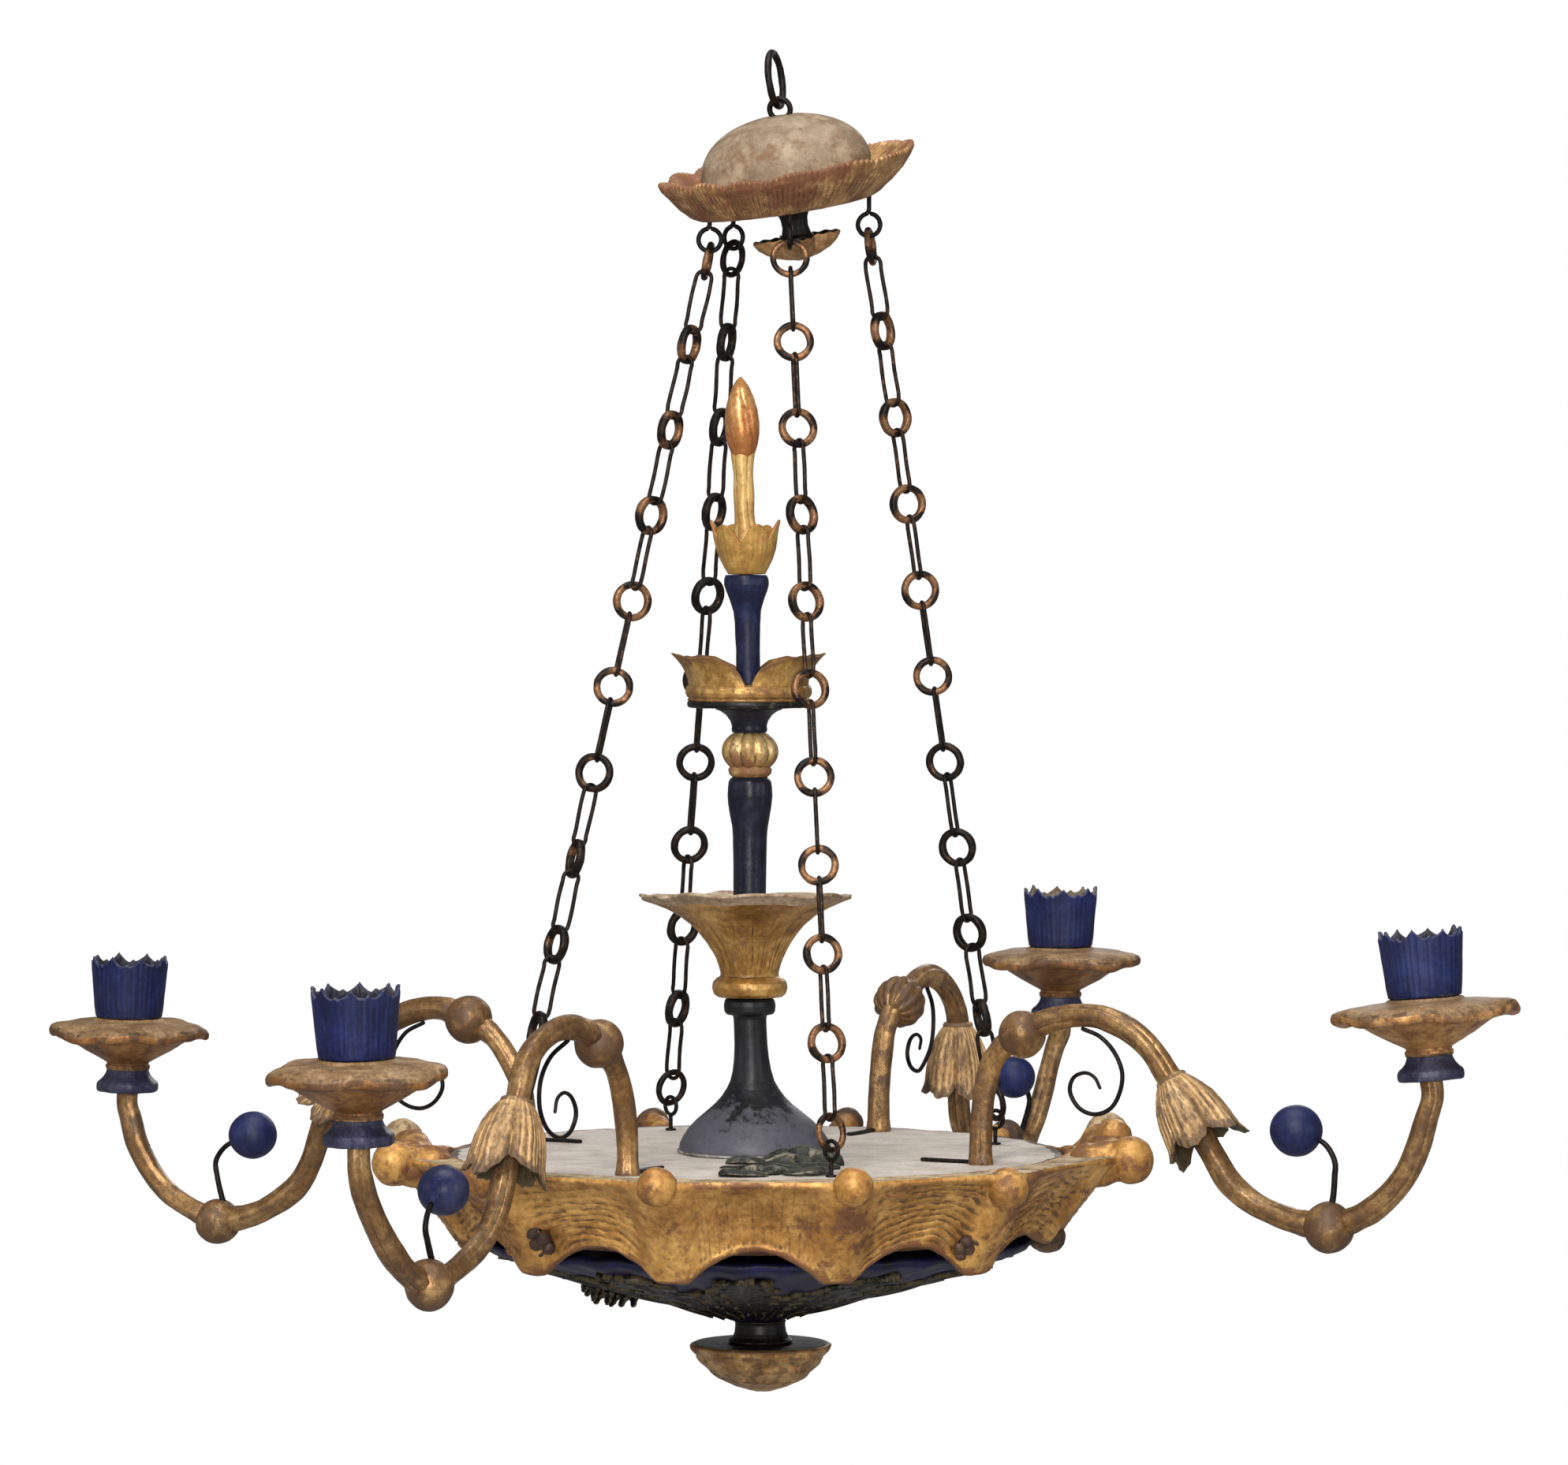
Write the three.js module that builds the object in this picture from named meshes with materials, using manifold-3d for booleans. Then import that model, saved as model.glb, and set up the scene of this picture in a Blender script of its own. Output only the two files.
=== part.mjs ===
// Carved and gilded wooden chandelier: four S-shaped candle arms on a twelve-ribbed tray,
// a turned and painted column in the middle, and four iron chains up to a domed canopy.
// Units are millimetres, +Z is up. The origin is the inner top of the suspension ring,
// where the ceiling hook carries the whole chandelier, so everything hangs below it.
// Arm 1 points along +X, arm 2 along +Y, arm 3 along -X and arm 4 along -Y.

import * as THREE from 'three';
import { mergeVertices } from 'three/addons/utils/BufferGeometryUtils.js';
import Module from 'manifold-3d';

const wasm = await Module();
wasm.setup();

// ---------------------------------------------------------------- driving dimensions
const GAP = 0.3;                 // clearance between pieces that touch
const GAP_MOVE = 0.8;            // clearance between wires that rock on each other
const FRONT = 28.5;              // degrees: the front of the chandelier lies at this turn from -Y

const RING_R = 19, RING_WIRE = 2.5, RING_LEAN = -6.5, RING_TURN = 104;   // suspension ring
const EYE_R = 7.5, EYE_WIRE = 2.0;                                       // eye bolt loop

const CANOPY = { x: 9.2, z: -77.0, lean: -8.7, nod: 8.5 };              // centre of the canopy's rim, and how it hangs askew
const DOME_R = 61, DOME_TOP = 37.5, CANOPY_LOW = -29, RIM_R = 90, CANOPY_SKEW = 0.15;

const HOOK_R = 8, HOOK_WIRE = 1.5;
const LINK_RING_R = 11.75, LINK_RING_WIRE = 2.25;
const LINK_R = 5.75, LINK_WIRE = 1.5;
const EYELET_R = 6.5, EYELET_WIRE = 1.5, EYELET_Z = -753.5;
const EYELETS = [[182, 18.8], [182, 110.5], [177, 198], [182, 286.7]];    // distance and turn in the front frame
const CARRIER = 1;                                                       // the string whose lowest ring is free

const TRAY_X = -12.0;            // the tray hangs this far beside the ring, seen from the front
const BOARD_TOP = -778, BOARD_T = 12, BOARD_R = 217.8;
const RIB_COUNT = 12, RIB_TURN = 13.5;
// sideways place of the column's centre line against the tray's axis, as [height, offset to the right]
const COLUMN_LINE = [[-960, 4.6], [-778, -0.6], [-680, -4.4], [-640, -4.6], [-500, -4.2], [-446, -5.3], [-366, -6.6], [-220, -11.1]];
const DOWEL_R = 8;

const ARM_R = 7.5;               // arm tubes, 15 mm thick
const CUP_H = 46, CUP_BASE_R = 24.7, CUP_TOP_R = 28.5, CUP_FLOOR = 6;

// ---------------------------------------------------------------- helpers
const rad = THREE.MathUtils.degToRad;

function volume(g) {
  const p = g.attributes.position, idx = g.index.array;
  const a = new THREE.Vector3(), b = new THREE.Vector3(), c = new THREE.Vector3();
  let v = 0;
  for (let i = 0; i < idx.length; i += 3) {
    a.fromBufferAttribute(p, idx[i]); b.fromBufferAttribute(p, idx[i + 1]); c.fromBufferAttribute(p, idx[i + 2]);
    v += a.dot(b.cross(c)) / 6;
  }
  return v;
}

// one closed shell with shared corners and faces that point outwards
function closed(geometry) {
  let g = geometry.clone();
  for (const name of Object.keys(g.attributes)) if (name !== 'position') g.deleteAttribute(name);
  g = mergeVertices(g, 1e-4);
  const src = g.index.array, tri = [];
  for (let i = 0; i < src.length; i += 3) {
    const [a, b, c] = [src[i], src[i + 1], src[i + 2]];
    if (a !== b && b !== c && c !== a) tri.push(a, b, c);
  }
  g.setIndex(tri);
  if (volume(g) < 0) {
    for (let i = 0; i < tri.length; i += 3) [tri[i + 1], tri[i + 2]] = [tri[i + 2], tri[i + 1]];
    g.setIndex(tri);
  }
  return g;
}

function toManifold(geometry) {
  const g = closed(geometry);
  const mesh = new wasm.Mesh({
    numProp: 3,
    vertProperties: Float32Array.from(g.attributes.position.array),
    triVerts: Uint32Array.from(g.index.array),
  });
  return new wasm.Manifold(mesh);
}

function toGeometry(manifold) {
  const mesh = manifold.getMesh();
  const g = new THREE.BufferGeometry();
  const n = mesh.vertProperties.length / mesh.numProp;
  const pos = new Float32Array(n * 3);
  for (let i = 0; i < n; i++) for (let k = 0; k < 3; k++) pos[3 * i + k] = mesh.vertProperties[i * mesh.numProp + k];
  g.setAttribute('position', new THREE.BufferAttribute(pos, 3));
  g.setIndex(Array.from(mesh.triVerts));
  return g;
}

function join(...parts) {
  let m = toManifold(parts[0]);
  for (const p of parts.slice(1)) m = m.add(toManifold(p));
  return toGeometry(m);
}

function cut(body, ...tools) {
  let m = toManifold(body);
  for (const t of tools) m = m.subtract(toManifold(t));
  return toGeometry(m);
}

// turned shape about Z. profile is [[r, z], ...], from axis to axis or else closed on itself;
// change(r, z, angle, j) may move each point; bend(i) may give the angle of column i
function turned(profile, segments, change = null, bend = null) {
  const points = profile[0][0] > 0 ? [...profile, profile[0]] : profile;
  const g = new THREE.LatheGeometry(points.map(([r, z]) => new THREE.Vector2(r, z)), segments);
  const p = g.attributes.position, n = points.length;
  for (let i = 0; i <= segments; i++) {
    const a = bend ? bend(i % segments) : 2 * Math.PI * (i % segments) / segments;
    for (let j = 0; j < n; j++) {
      let [r, z] = points[j];
      if (change) [r, z] = change(r, z, a, j % profile.length);
      p.setXYZ(i * n + j, r * Math.cos(a), r * Math.sin(a), z);
    }
  }
  return closed(g);
}

const rod = (r, z0, z1, sides = 8) => turned([[0, z0], [r, z0], [r, z1], [0, z1]], sides);
const ball = (r, x, y, z, detail = 1) => new THREE.IcosahedronGeometry(r, detail).translate(x, y, z);

// bar of round section along a curve through the points
function bar(points, r, sides, steps) {
  const curve = new THREE.CatmullRomCurve3(points.map((q) => new THREE.Vector3(...q)), false, 'centripetal');
  const section = new THREE.Shape();
  for (let i = 0; i < sides; i++) {
    const a = 2 * Math.PI * (i + 0.5) / sides;
    if (i) section.lineTo(r * Math.cos(a), r * Math.sin(a)); else section.moveTo(r * Math.cos(a), r * Math.sin(a));
  }
  section.closePath();
  return new THREE.ExtrudeGeometry(section, { steps, bevelEnabled: false, extrudePath: curve });
}

// round wire ring standing in the XZ plane, with corners at its top and bottom
const wireRing = (R, r, around = 6, section = 4) =>
  new THREE.TorusGeometry(R, r, section, around).rotateZ(around === 6 ? Math.PI / 6 : 0).rotateX(Math.PI / 2);

// oblong wire link standing in the XZ plane; span is the distance between the centres of its end wires
function wireLink(span) {
  const g = new THREE.TorusGeometry(LINK_R, LINK_WIRE, 3, 6).rotateZ(Math.PI / 6);
  const p = g.attributes.position, push = span / 2 - LINK_R;
  for (let i = 0; i < p.count; i++) {
    const x = p.getX(i), y = p.getY(i), rho = Math.hypot(x, y), f = (2 * LINK_R - rho) / rho;   // one edge of the section faces inward
    p.setXY(i, x * f, y * f + (y > 0 ? push : -push));
  }
  return g.rotateX(Math.PI / 2);
}

const finishes = {
  iron: new THREE.MeshStandardMaterial({ color: 0x2a2522, roughness: 0.7, metalness: 0.8 }),
  chainIron: new THREE.MeshStandardMaterial({ color: 0x4a3526, roughness: 0.6, metalness: 0.8 }),
  gesso: new THREE.MeshStandardMaterial({ color: 0xb9a183, roughness: 0.85, metalness: 0.0 }),
  gilt: new THREE.MeshStandardMaterial({ color: 0xa8742c, roughness: 0.45, metalness: 0.6 }),
  gold: new THREE.MeshStandardMaterial({ color: 0xc98a3a, roughness: 0.4, metalness: 0.6 }),
  blue: new THREE.MeshStandardMaterial({ color: 0x20265c, roughness: 0.8, metalness: 0.0 }),
  black: new THREE.MeshStandardMaterial({ color: 0x25262c, roughness: 0.75, metalness: 0.0 }),
  board: new THREE.MeshStandardMaterial({ color: 0x9b948c, roughness: 0.9, metalness: 0.0 }),
};

function piece(name, geometry, finish, parent) {
  const g = closed(geometry);
  g.computeVertexNormals();
  const mesh = new THREE.Mesh(g, finishes[finish]);
  mesh.name = name;
  parent.add(mesh);
  return mesh;
}

const chandelier = new THREE.Group();
const front = new THREE.Group();            // turned so that +X is the right hand seen from the front
front.rotation.z = rad(FRONT);
chandelier.add(front);

// ---------------------------------------------------------------- suspension ring and eye bolt
// the ring stands almost edge-on to the front and leans a little; its inner top is the origin
const ringGroup = new THREE.Group();
ringGroup.rotation.z = rad(RING_TURN);
chandelier.add(ringGroup);
const ringLean = new THREE.Group();
ringLean.rotation.x = rad(RING_LEAN);
ringGroup.add(ringLean);
piece('suspension_ring',
  new THREE.TorusGeometry(RING_R, RING_WIRE, 6, 12).rotateX(Math.PI / 2).translate(0, 0, RING_WIRE - RING_R),
  'iron', ringLean);
chandelier.updateMatrixWorld(true);
const ringFoot = new THREE.Vector3(0, 0, RING_WIRE - 2 * RING_R).applyMatrix4(ringLean.matrixWorld);  // centre of the ring's lowest wire

// ---------------------------------------------------------------- canopy
const canopy = new THREE.Group();
canopy.position.set(CANOPY.x, 0, CANOPY.z);
canopy.rotation.set(rad(CANOPY.nod), rad(CANOPY.lean), 0);
front.add(canopy);
chandelier.updateMatrixWorld(true);
const toCanopy = canopy.matrixWorld.clone().invert();

// the eye bolt's loop hangs on the ring; its shank runs down through the dome into the pendant
const eyeTop = ringFoot.clone().add(new THREE.Vector3(0, 0, RING_WIRE + EYE_WIRE + GAP_MOVE)).applyMatrix4(toCanopy);
const eyeZ = eyeTop.z - EYE_R;
const eyeLoop = new THREE.TorusGeometry(EYE_R, EYE_WIRE, 5, 10).rotateX(Math.PI / 2)
  .rotateZ(rad(RING_TURN - 90 - FRONT)).translate(eyeTop.x, eyeTop.y, eyeZ);
const shankTop = eyeZ - EYE_R, shankLow = CANOPY_LOW - 12;
piece('eye_bolt', join(eyeLoop, rod(2.6, shankLow, shankTop, 8).translate(eyeTop.x, eyeTop.y, 0)), 'iron', canopy);

// hooks: [x, y, z] of the lowest wire's centre, in the front frame, and the turn of the loop
const HOOKS = [
  { at: [68.4, 16, -126.3], turn: -10 },      // right
  { at: [-28.3, 46, -133.8], turn: -35 },     // back
  { at: [-44.5, -14, -138.4], turn: -5 },    // left
  { at: [11.7, -50, -137.8], turn: -90 },    // front
];

const stems = [];
HOOKS.forEach((hook, i) => {
  const [x, y, z] = hook.at;
  const under = new THREE.Vector3(x, y, z).applyMatrix4(front.matrixWorld).applyMatrix4(toCanopy);
  const lift = CANOPY_LOW - under.z;                       // height from the low wire to the canopy's underside, about
  hook.stemTop = z + lift + 9;
  const loop = wireRing(HOOK_R, HOOK_WIRE).rotateZ(rad(hook.turn)).translate(0, 0, HOOK_R);
  const stem = rod(1.6, 2 * HOOK_R - 0.6, hook.stemTop - z, 6);
  piece(`canopy_hook_${i + 1}`, join(loop, stem), 'iron', front).position.set(x, y, z);
  stems.push(rod(1.6 + GAP, 2 * HOOK_R, hook.stemTop - z + GAP, 6).translate(x, y, z)
    .applyMatrix4(front.matrixWorld).applyMatrix4(toCanopy));
});

// dome: one turned block with a recess at the top for the eye, and a bore for the shank
// below the rim's level both are carved a little askew, nearly upright
const skewed = (g) => {
  const p = g.attributes.position;
  for (let i = 0; i < p.count; i++) if (p.getZ(i) < 0) p.setX(i, p.getX(i) + CANOPY_SKEW * p.getZ(i));
  return g;
};
const dome = turned([[0, CANOPY_LOW], [63.5, CANOPY_LOW], [69.5, -25], [74, -20], [DOME_R - 0.4, -20], [DOME_R, -1], [DOME_R - 1, 7], [54, 19],
  [42, 28], [25, 35], [0, DOME_TOP]], 18);
piece('canopy_dome', cut(skewed(dome),
  rod(EYE_R + EYE_WIRE + 1.2, eyeZ - EYE_R - EYE_WIRE - 0.6, DOME_TOP + 5, 12).translate(eyeTop.x, eyeTop.y, 0),
  rod(2.6 + GAP, CANOPY_LOW - 3, DOME_TOP, 8).translate(eyeTop.x, eyeTop.y, 0), ...stems), 'gesso', canopy);

// flared and scalloped rim around the dome
piece('canopy_rim', skewed(turned([[61.4, -20 + GAP], [74.2, -20 + GAP], [81, -13], [88, -4], [RIM_R, 1],
  [RIM_R - 3, 3], [78, -4], [69, -12], [62, -12.5]], 27,
(r, z, a, j) => (j >= 3 && j <= 5 ? [r, z + 2.0 * Math.cos(9 * a)] : [r, z]))), 'gilt', canopy);

// pendant under the canopy: dark neck, leafy calyx and bud on the end of the eye bolt's shank
piece('canopy_pendant', cut(
  turned([[0, -68], [5, -66.5], [16, -62], [29, -55.5], [31.5, -52.5], [30, -51], [13, -53], [9, -49], [10, -40], [11.5, CANOPY_LOW - GAP],
    [0, CANOPY_LOW - GAP]], 12, (r, z, a, j) => (j >= 3 && j <= 5 ? [r * (0.86 + 0.14 * Math.cos(4 * a)), z] : [r, z])),
  rod(2.6 + GAP, shankLow - GAP, CANOPY_LOW + 2, 8).translate(eyeTop.x, eyeTop.y, 0)), 'gilt', canopy);

// ---------------------------------------------------------------- chains
// turn of each round ring about the chain, from face-on to the front, in degrees, top to bottom
const CHAIN_TURNS = [
  [80, 60, 42, 28, 18, 0, -20, -25, -40, -75, -60],
  [55, 70, 65, 60, 40, 15, 5, 20, 40, 60, 40],
  [85, 65, 60, 45, 20, 0, -20, -72, -60, -70, -80],
  [0, 5, 20, 45, 35, 25, 5, -5, 20, 25, 45],
];
const RINGS = 11;
const RI = LINK_RING_R - LINK_RING_WIRE;      // inner radius of a round ring
const OVER = 0.7;                             // the links of one string are fused where they rest on each other

const eyelets = [];
HOOKS.forEach((hook, k) => {
  const top = new THREE.Vector3(...hook.at);
  const az = rad(EYELETS[k][1]);
  const foot = new THREE.Vector3(TRAY_X + EYELETS[k][0] * Math.cos(az), EYELETS[k][0] * Math.sin(az), EYELET_Z);
  const length = top.distanceTo(foot);
  const loose = k !== CARRIER;                // the other three strings end on an open pivot, with play in their eyelets
  const footPlay = loose ? 2.2 : GAP_MOVE;
  const endPlay = loose ? -OVER : GAP_MOVE;
  // play or overlap at the 20 contacts below the first ring, then the free length goes to the oblong links
  const fixed = (RI - HOOK_WIRE - GAP_MOVE) + (RI - LINK_WIRE - GAP_MOVE)
    + 9 * (RI - LINK_WIRE + OVER) + (RI - LINK_WIRE - endPlay)
    + 9 * (RI - LINK_WIRE + OVER) + (RI - EYELET_WIRE - footPlay);
  const span = (length - fixed) / 10;

  const string = new THREE.Group();
  string.position.copy(top);
  string.quaternion.setFromUnitVectors(new THREE.Vector3(0, 0, -1), foot.clone().sub(top).normalize());
  front.add(string);

  const turns = CHAIN_TURNS[k], parts = [];
  let z = -(RI - HOOK_WIRE - GAP_MOVE);
  let firstRing, endRing;
  for (let i = 0; i < RINGS; i++) {
    const ring = wireRing(LINK_RING_R, LINK_RING_WIRE).rotateZ(rad(turns[i])).translate(0, 0, z);
    if (i === 0) firstRing = ring;
    else if (i === RINGS - 1 && !loose) endRing = ring;
    else parts.push(ring);
    if (i === RINGS - 1) break;
    z -= RI - LINK_WIRE - (i === 0 ? GAP_MOVE : -OVER) + span / 2;
    parts.push(wireLink(span).rotateZ(rad((turns[i] + turns[i + 1]) / 2 + 90)).translate(0, 0, z));
    z -= span / 2 + RI - LINK_WIRE - (i === RINGS - 2 ? endPlay : -OVER);
  }
  piece(`chain_${k + 1}_ring`, firstRing, 'chainIron', string);
  piece(`chain_${k + 1}`, join(...parts), 'chainIron', string);
  if (endRing) piece(`chain_${k + 1}_end_ring`, endRing, 'chainIron', string);
  eyelets.push({ foot, turn: turns[RINGS - 1] + 90 });
});

// ---------------------------------------------------------------- tray
const tray = new THREE.Group();
tray.position.copy(new THREE.Vector3(TRAY_X, 0, 0).applyMatrix4(front.matrixWorld));
chandelier.add(tray);
chandelier.updateMatrixWorld(true);
const toTray = tray.matrixWorld.clone().invert();

// the column is a little crooked: every level is pushed sideways, so that all turned faces stay level
function aside(z) {
  const i = Math.max(1, COLUMN_LINE.findIndex(([h]) => h >= z));
  const [[z0, a], [z1, b]] = [COLUMN_LINE[i - 1], COLUMN_LINE[i]];
  return a + (b - a) * (z - z0) / (z1 - z0);
}
function leaning(g, extra = () => 0) {
  const p = g.attributes.position;
  for (let i = 0; i < p.count; i++) {
    const z = p.getZ(i), d = aside(z) + extra(z);
    p.setXY(i, p.getX(i) + d * Math.cos(rad(FRONT)), p.getY(i) + d * Math.sin(rad(FRONT)));
  }
  return g;
}

// eyelets: wire loops on short stems, screwed into the board
const eyeletHoles = [];
eyelets.forEach(({ foot, turn }, k) => {
  const p = foot.clone().applyMatrix4(front.matrixWorld).applyMatrix4(toTray);
  const loopLow = -2 * EYELET_R;
  const loop = wireRing(EYELET_R, EYELET_WIRE).rotateZ(rad(turn + FRONT)).translate(0, 0, -EYELET_R);
  const stemLow = BOARD_TOP - 8 - EYELET_Z;
  piece(`tray_eyelet_${k + 1}`, join(loop, rod(1.6, stemLow, loopLow + 0.6, 6)), 'iron', tray).position.copy(p);
  eyeletHoles.push(rod(1.6 + GAP, BOARD_TOP - 8 - GAP, BOARD_TOP + 2, 6).translate(p.x, p.y, 0));
});

// arms: centrelines as [distance from the tray's axis, height]. Each arm is bent by hand, so no two are quite alike
const ARMS = [
  {
    inner: [[179, -777.4], [179, -760], [180, -740], [183, -722], [188, -706], [197, -694.5], [211, -685.5], [232, -675.5],
      [252, -671.5], [270, -671.5], [287, -677], [302, -686], [314, -698], [323, -711]],
    knop: [211, -686, 16.7], husk: [[324, -711], [356, -762]],
    outer: [[356, -762], [369, -781.5], [386, -794.5], [406, -802.5], [426, -807], [443, -808.5], [466, -800.5], [485, -787],
      [499, -770.5], [508, -752], [514, -733]],
    lowKnop: [443, -809, 17.5], cup: [513, -650], tilt: -5.0, pan: 64,
    berry: [419, -744, 18], wire: [[430, -747], [441, -753], [447.5, -764], [448, -776]], wireFoot: 82,
    scroll: [[258, -680.6], [271, -685.5], [282, -696], [288, -710], [286, -724], [279, -735], [267, -739.5], [255, -735.5],
      [248, -724], [251, -714.5], [260, -711], [267, -714], [271, -721]],
  },
  {
    inner: [[188.3, -777.4], [188.5, -755], [190.5, -738], [193, -724], [198, -706], [208, -693], [222, -685], [240, -675.5],
      [252, -670], [269, -668], [286, -672.5], [300, -681], [310, -691.5], [316, -703]],
    knop: [222, -685, 18.5], husk: [[317, -706], [318, -766]],
    outer: [[318, -766], [323, -784], [338, -799], [362, -809], [390, -813], [416, -813], [436, -803], [450, -790],
      [461, -774], [472, -755], [484, -736]],
    lowKnop: [416, -813.5, 17.5], cup: [493.5, -659], tilt: 0, pan: 61.5,
    berry: [412, -755, 16.5], wire: [[422, -759], [433, -765], [439, -775], [436, -786]], wireFoot: 60,
    scroll: [[266, -677.2], [274.5, -690], [276.5, -704], [273, -720], [264, -731], [252, -738.5], [239, -734], [234, -724],
      [239, -714], [249, -711], [256, -715], [254, -722]],
  },
  {
    inner: [[190.7, -777.4], [191, -757], [194, -740], [203, -723], [218, -704], [239, -691.5], [262, -684.5], [282, -686.5],
      [300, -693], [316, -704], [328, -717]],
    knop: [239, -692, 17.5], husk: [[329, -717], [362, -766]],
    outer: [[362, -766], [369, -785], [376, -803], [387, -820], [404, -833], [424, -843], [442, -848], [458, -850.5],
      [481, -843], [503, -831], [519, -815], [531, -795], [537, -775]],
    lowKnop: [458, -851, 17], cup: [538, -701], tilt: -1.5, pan: 60,
    berry: [427, -785, 18], wire: [[440, -789], [452, -795], [460, -806], [460, -818]], wireFoot: 110,
    scroll: [[278, -695.8], [293, -703.5], [303, -717], [308, -733], [303, -749], [292, -757], [279, -758.5], [268, -753],
      [261.5, -742], [265, -731], [274, -727], [283, -731], [287, -739]],
  },
  {
    inner: [[183, -777.4], [183, -762], [185, -745], [189, -727], [196, -710], [206, -697], [222, -684.5], [248, -673.5],
      [271, -671], [292, -675], [310, -684], [322, -697], [329, -713]],
    knop: [222, -685, 17], husk: [[330, -714], [349, -769]],
    outer: [[349, -769], [356, -785], [368, -800], [386, -811.5], [408, -820], [426, -825], [442, -826.5], [466, -818],
      [487, -802.5], [506, -782], [519, -763], [526, -745]],
    lowKnop: [442, -827, 17], cup: [529, -673], tilt: 2.0, pan: 58.5,
    berry: [424, -767, 17], wire: [[434, -771], [443, -779], [446.5, -790], [444, -800]], wireFoot: 108,
    scroll: [[264, -680.2], [288, -690.5], [300, -705], [301, -723], [291, -738], [274, -745], [260, -741.5], [253, -730],
      [259, -719], [269, -715], [278, -718.5], [281, -727]],
  },
];
const in3 = (list) => list.map(([r, z]) => [r, 0, z]);
const HUSK_LONG = 60, HUSK_R = 26;

// board: a flat lid with holes for the column's dowel, the arms' dowels and the eyelets
const boardTools = [leaning(rod(DOWEL_R + 0.5, BOARD_TOP - BOARD_T - 4, BOARD_TOP + 4, 12)), ...eyeletHoles];
ARMS.forEach((arm, i) => {
  boardTools.push(rod(4 + GAP, BOARD_TOP - 9 - GAP, BOARD_TOP + 2, 8).translate(arm.inner[0][0], 0, 0).rotateZ(i * Math.PI / 2));
});
piece('tray_board', cut(rod(BOARD_R, BOARD_TOP - BOARD_T, BOARD_TOP, 48), ...boardTools), 'board', tray);

// apron: twelve carved panels between ribs; each rib ends in a knob above and in a point below.
// At the back its rim falls away below the board, and at the two ends the points are short.
const ribColumns = [0, 2.6, 15, 27.4];       // degrees: middle and edges of a rib, and middle of a panel
const ribWave = [[0, 0], [12, 0], [9, 0], [5, 0], [1, -2], [3, -7], [0, 0], [0, 0]];
const panelWave = [[0, 0], [-3, 0], [-3, 0], [-2, 0], [0, 8], [0, 6], [0, 0], [0, 0]];
const apronProfile = [[BOARD_R + 1.8, -775], [250, -773.5], [253, -784], [231, -813], [214, -838], [201, -841],
  [208, BOARD_TOP - BOARD_T - GAP], [BOARD_R + 1.8, BOARD_TOP - BOARD_T - GAP]];
const apron = turned(apronProfile, 48, (r, z, a, j) => {
  const c = Math.round(a * 180 / Math.PI * 10) / 10 % 30;
  const wave = c === 0 ? ribWave[j] : (c === 15 ? panelWave[j] : [0, 0]);
  const back = Math.min(1, Math.max(0, (Math.sin(a + rad(RIB_TURN - FRONT)) - 0.3) / 0.12));
  const fall = back * back * (3 - 2 * back) * [4, 12, 9, 2, 0, 0, 0, 0][j];
  const short = a < 0.01 || Math.abs(a - rad(210)) < 0.01 ? [0, 0, 0, 4, 16, 16, 0, 0][j] : 0;
  return [r + wave[0], z + wave[1] - fall + short];
}, (i) => rad(30 * Math.floor(i / 4) + ribColumns[i % 4]));
// knobs as [turn from the rib, distance, height, radius], since no two sit quite alike
const KNOBS = [[3, 269, -778, 16.5], [2, 265, -772.5, 15.5], [0, 261, -784, 12.5], [0, 261, -781, 12.5], [2.5, 261, -781, 12.5], [0, 261, -784, 12.5],
  [-2, 266, -772.5, 15.5], [2.4, 265, -778, 16], [0, 263, -778, 14], [0.6, 263, -777, 13.5], [-0.3, 263, -777, 13.5], [-2, 253, -785, 14.5]];
const LOW_KNOBS = [[1, 211, -833, 12.5, 0], [18, 254, -765, 13, 0]];
const knobs = [...KNOBS, ...LOW_KNOBS].map(([turn, r, z, size, rib], i) => {
  const k = rib ?? i;
  const a = rad(30 * k + turn);
  return turned([[0, -size], [0.7 * size, -0.7 * size], [size, 0], [0.7 * size, 0.7 * size], [0, size]], 8)
    .translate(r * Math.cos(a), r * Math.sin(a), z);
});
piece('tray_apron', join(apron, ...knobs), 'gilt', tray).rotation.z = rad(RIB_TURN);

// bowl: the shallow carved underside, hung from the apron's lower edge and from the dowel
const trayBowl = turned([[0, -890], [21, -888], [120, -858.5], [170, -842], [189, -835], [198, -836], [197, -841],
  [189, -846], [170, -851.5], [122, -866.5], [81, -878], [52, -886], [30, -893.5], [19, -897.5], [0, -897.5]], 20);
piece('tray_bowl', cut(trayBowl, leaning(rod(DOWEL_R + 0.5, -905, -870, 12))), 'blue', tray);

// bottom finial: black neck and gilded, lobed cup, with a socket for the dowel
piece('bottom_finial', leaning(turned([[0, -949], [10, -947.5], [26, -941], [40, -930], [49.5, -918], [50.5, -914.5], [19, -914],
  [17.8, -906], [18.5, -897.5 - GAP], [DOWEL_R + GAP, -897.5 - GAP], [DOWEL_R + GAP, -909], [0, -909]], 16)), 'gilt', tray);

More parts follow.
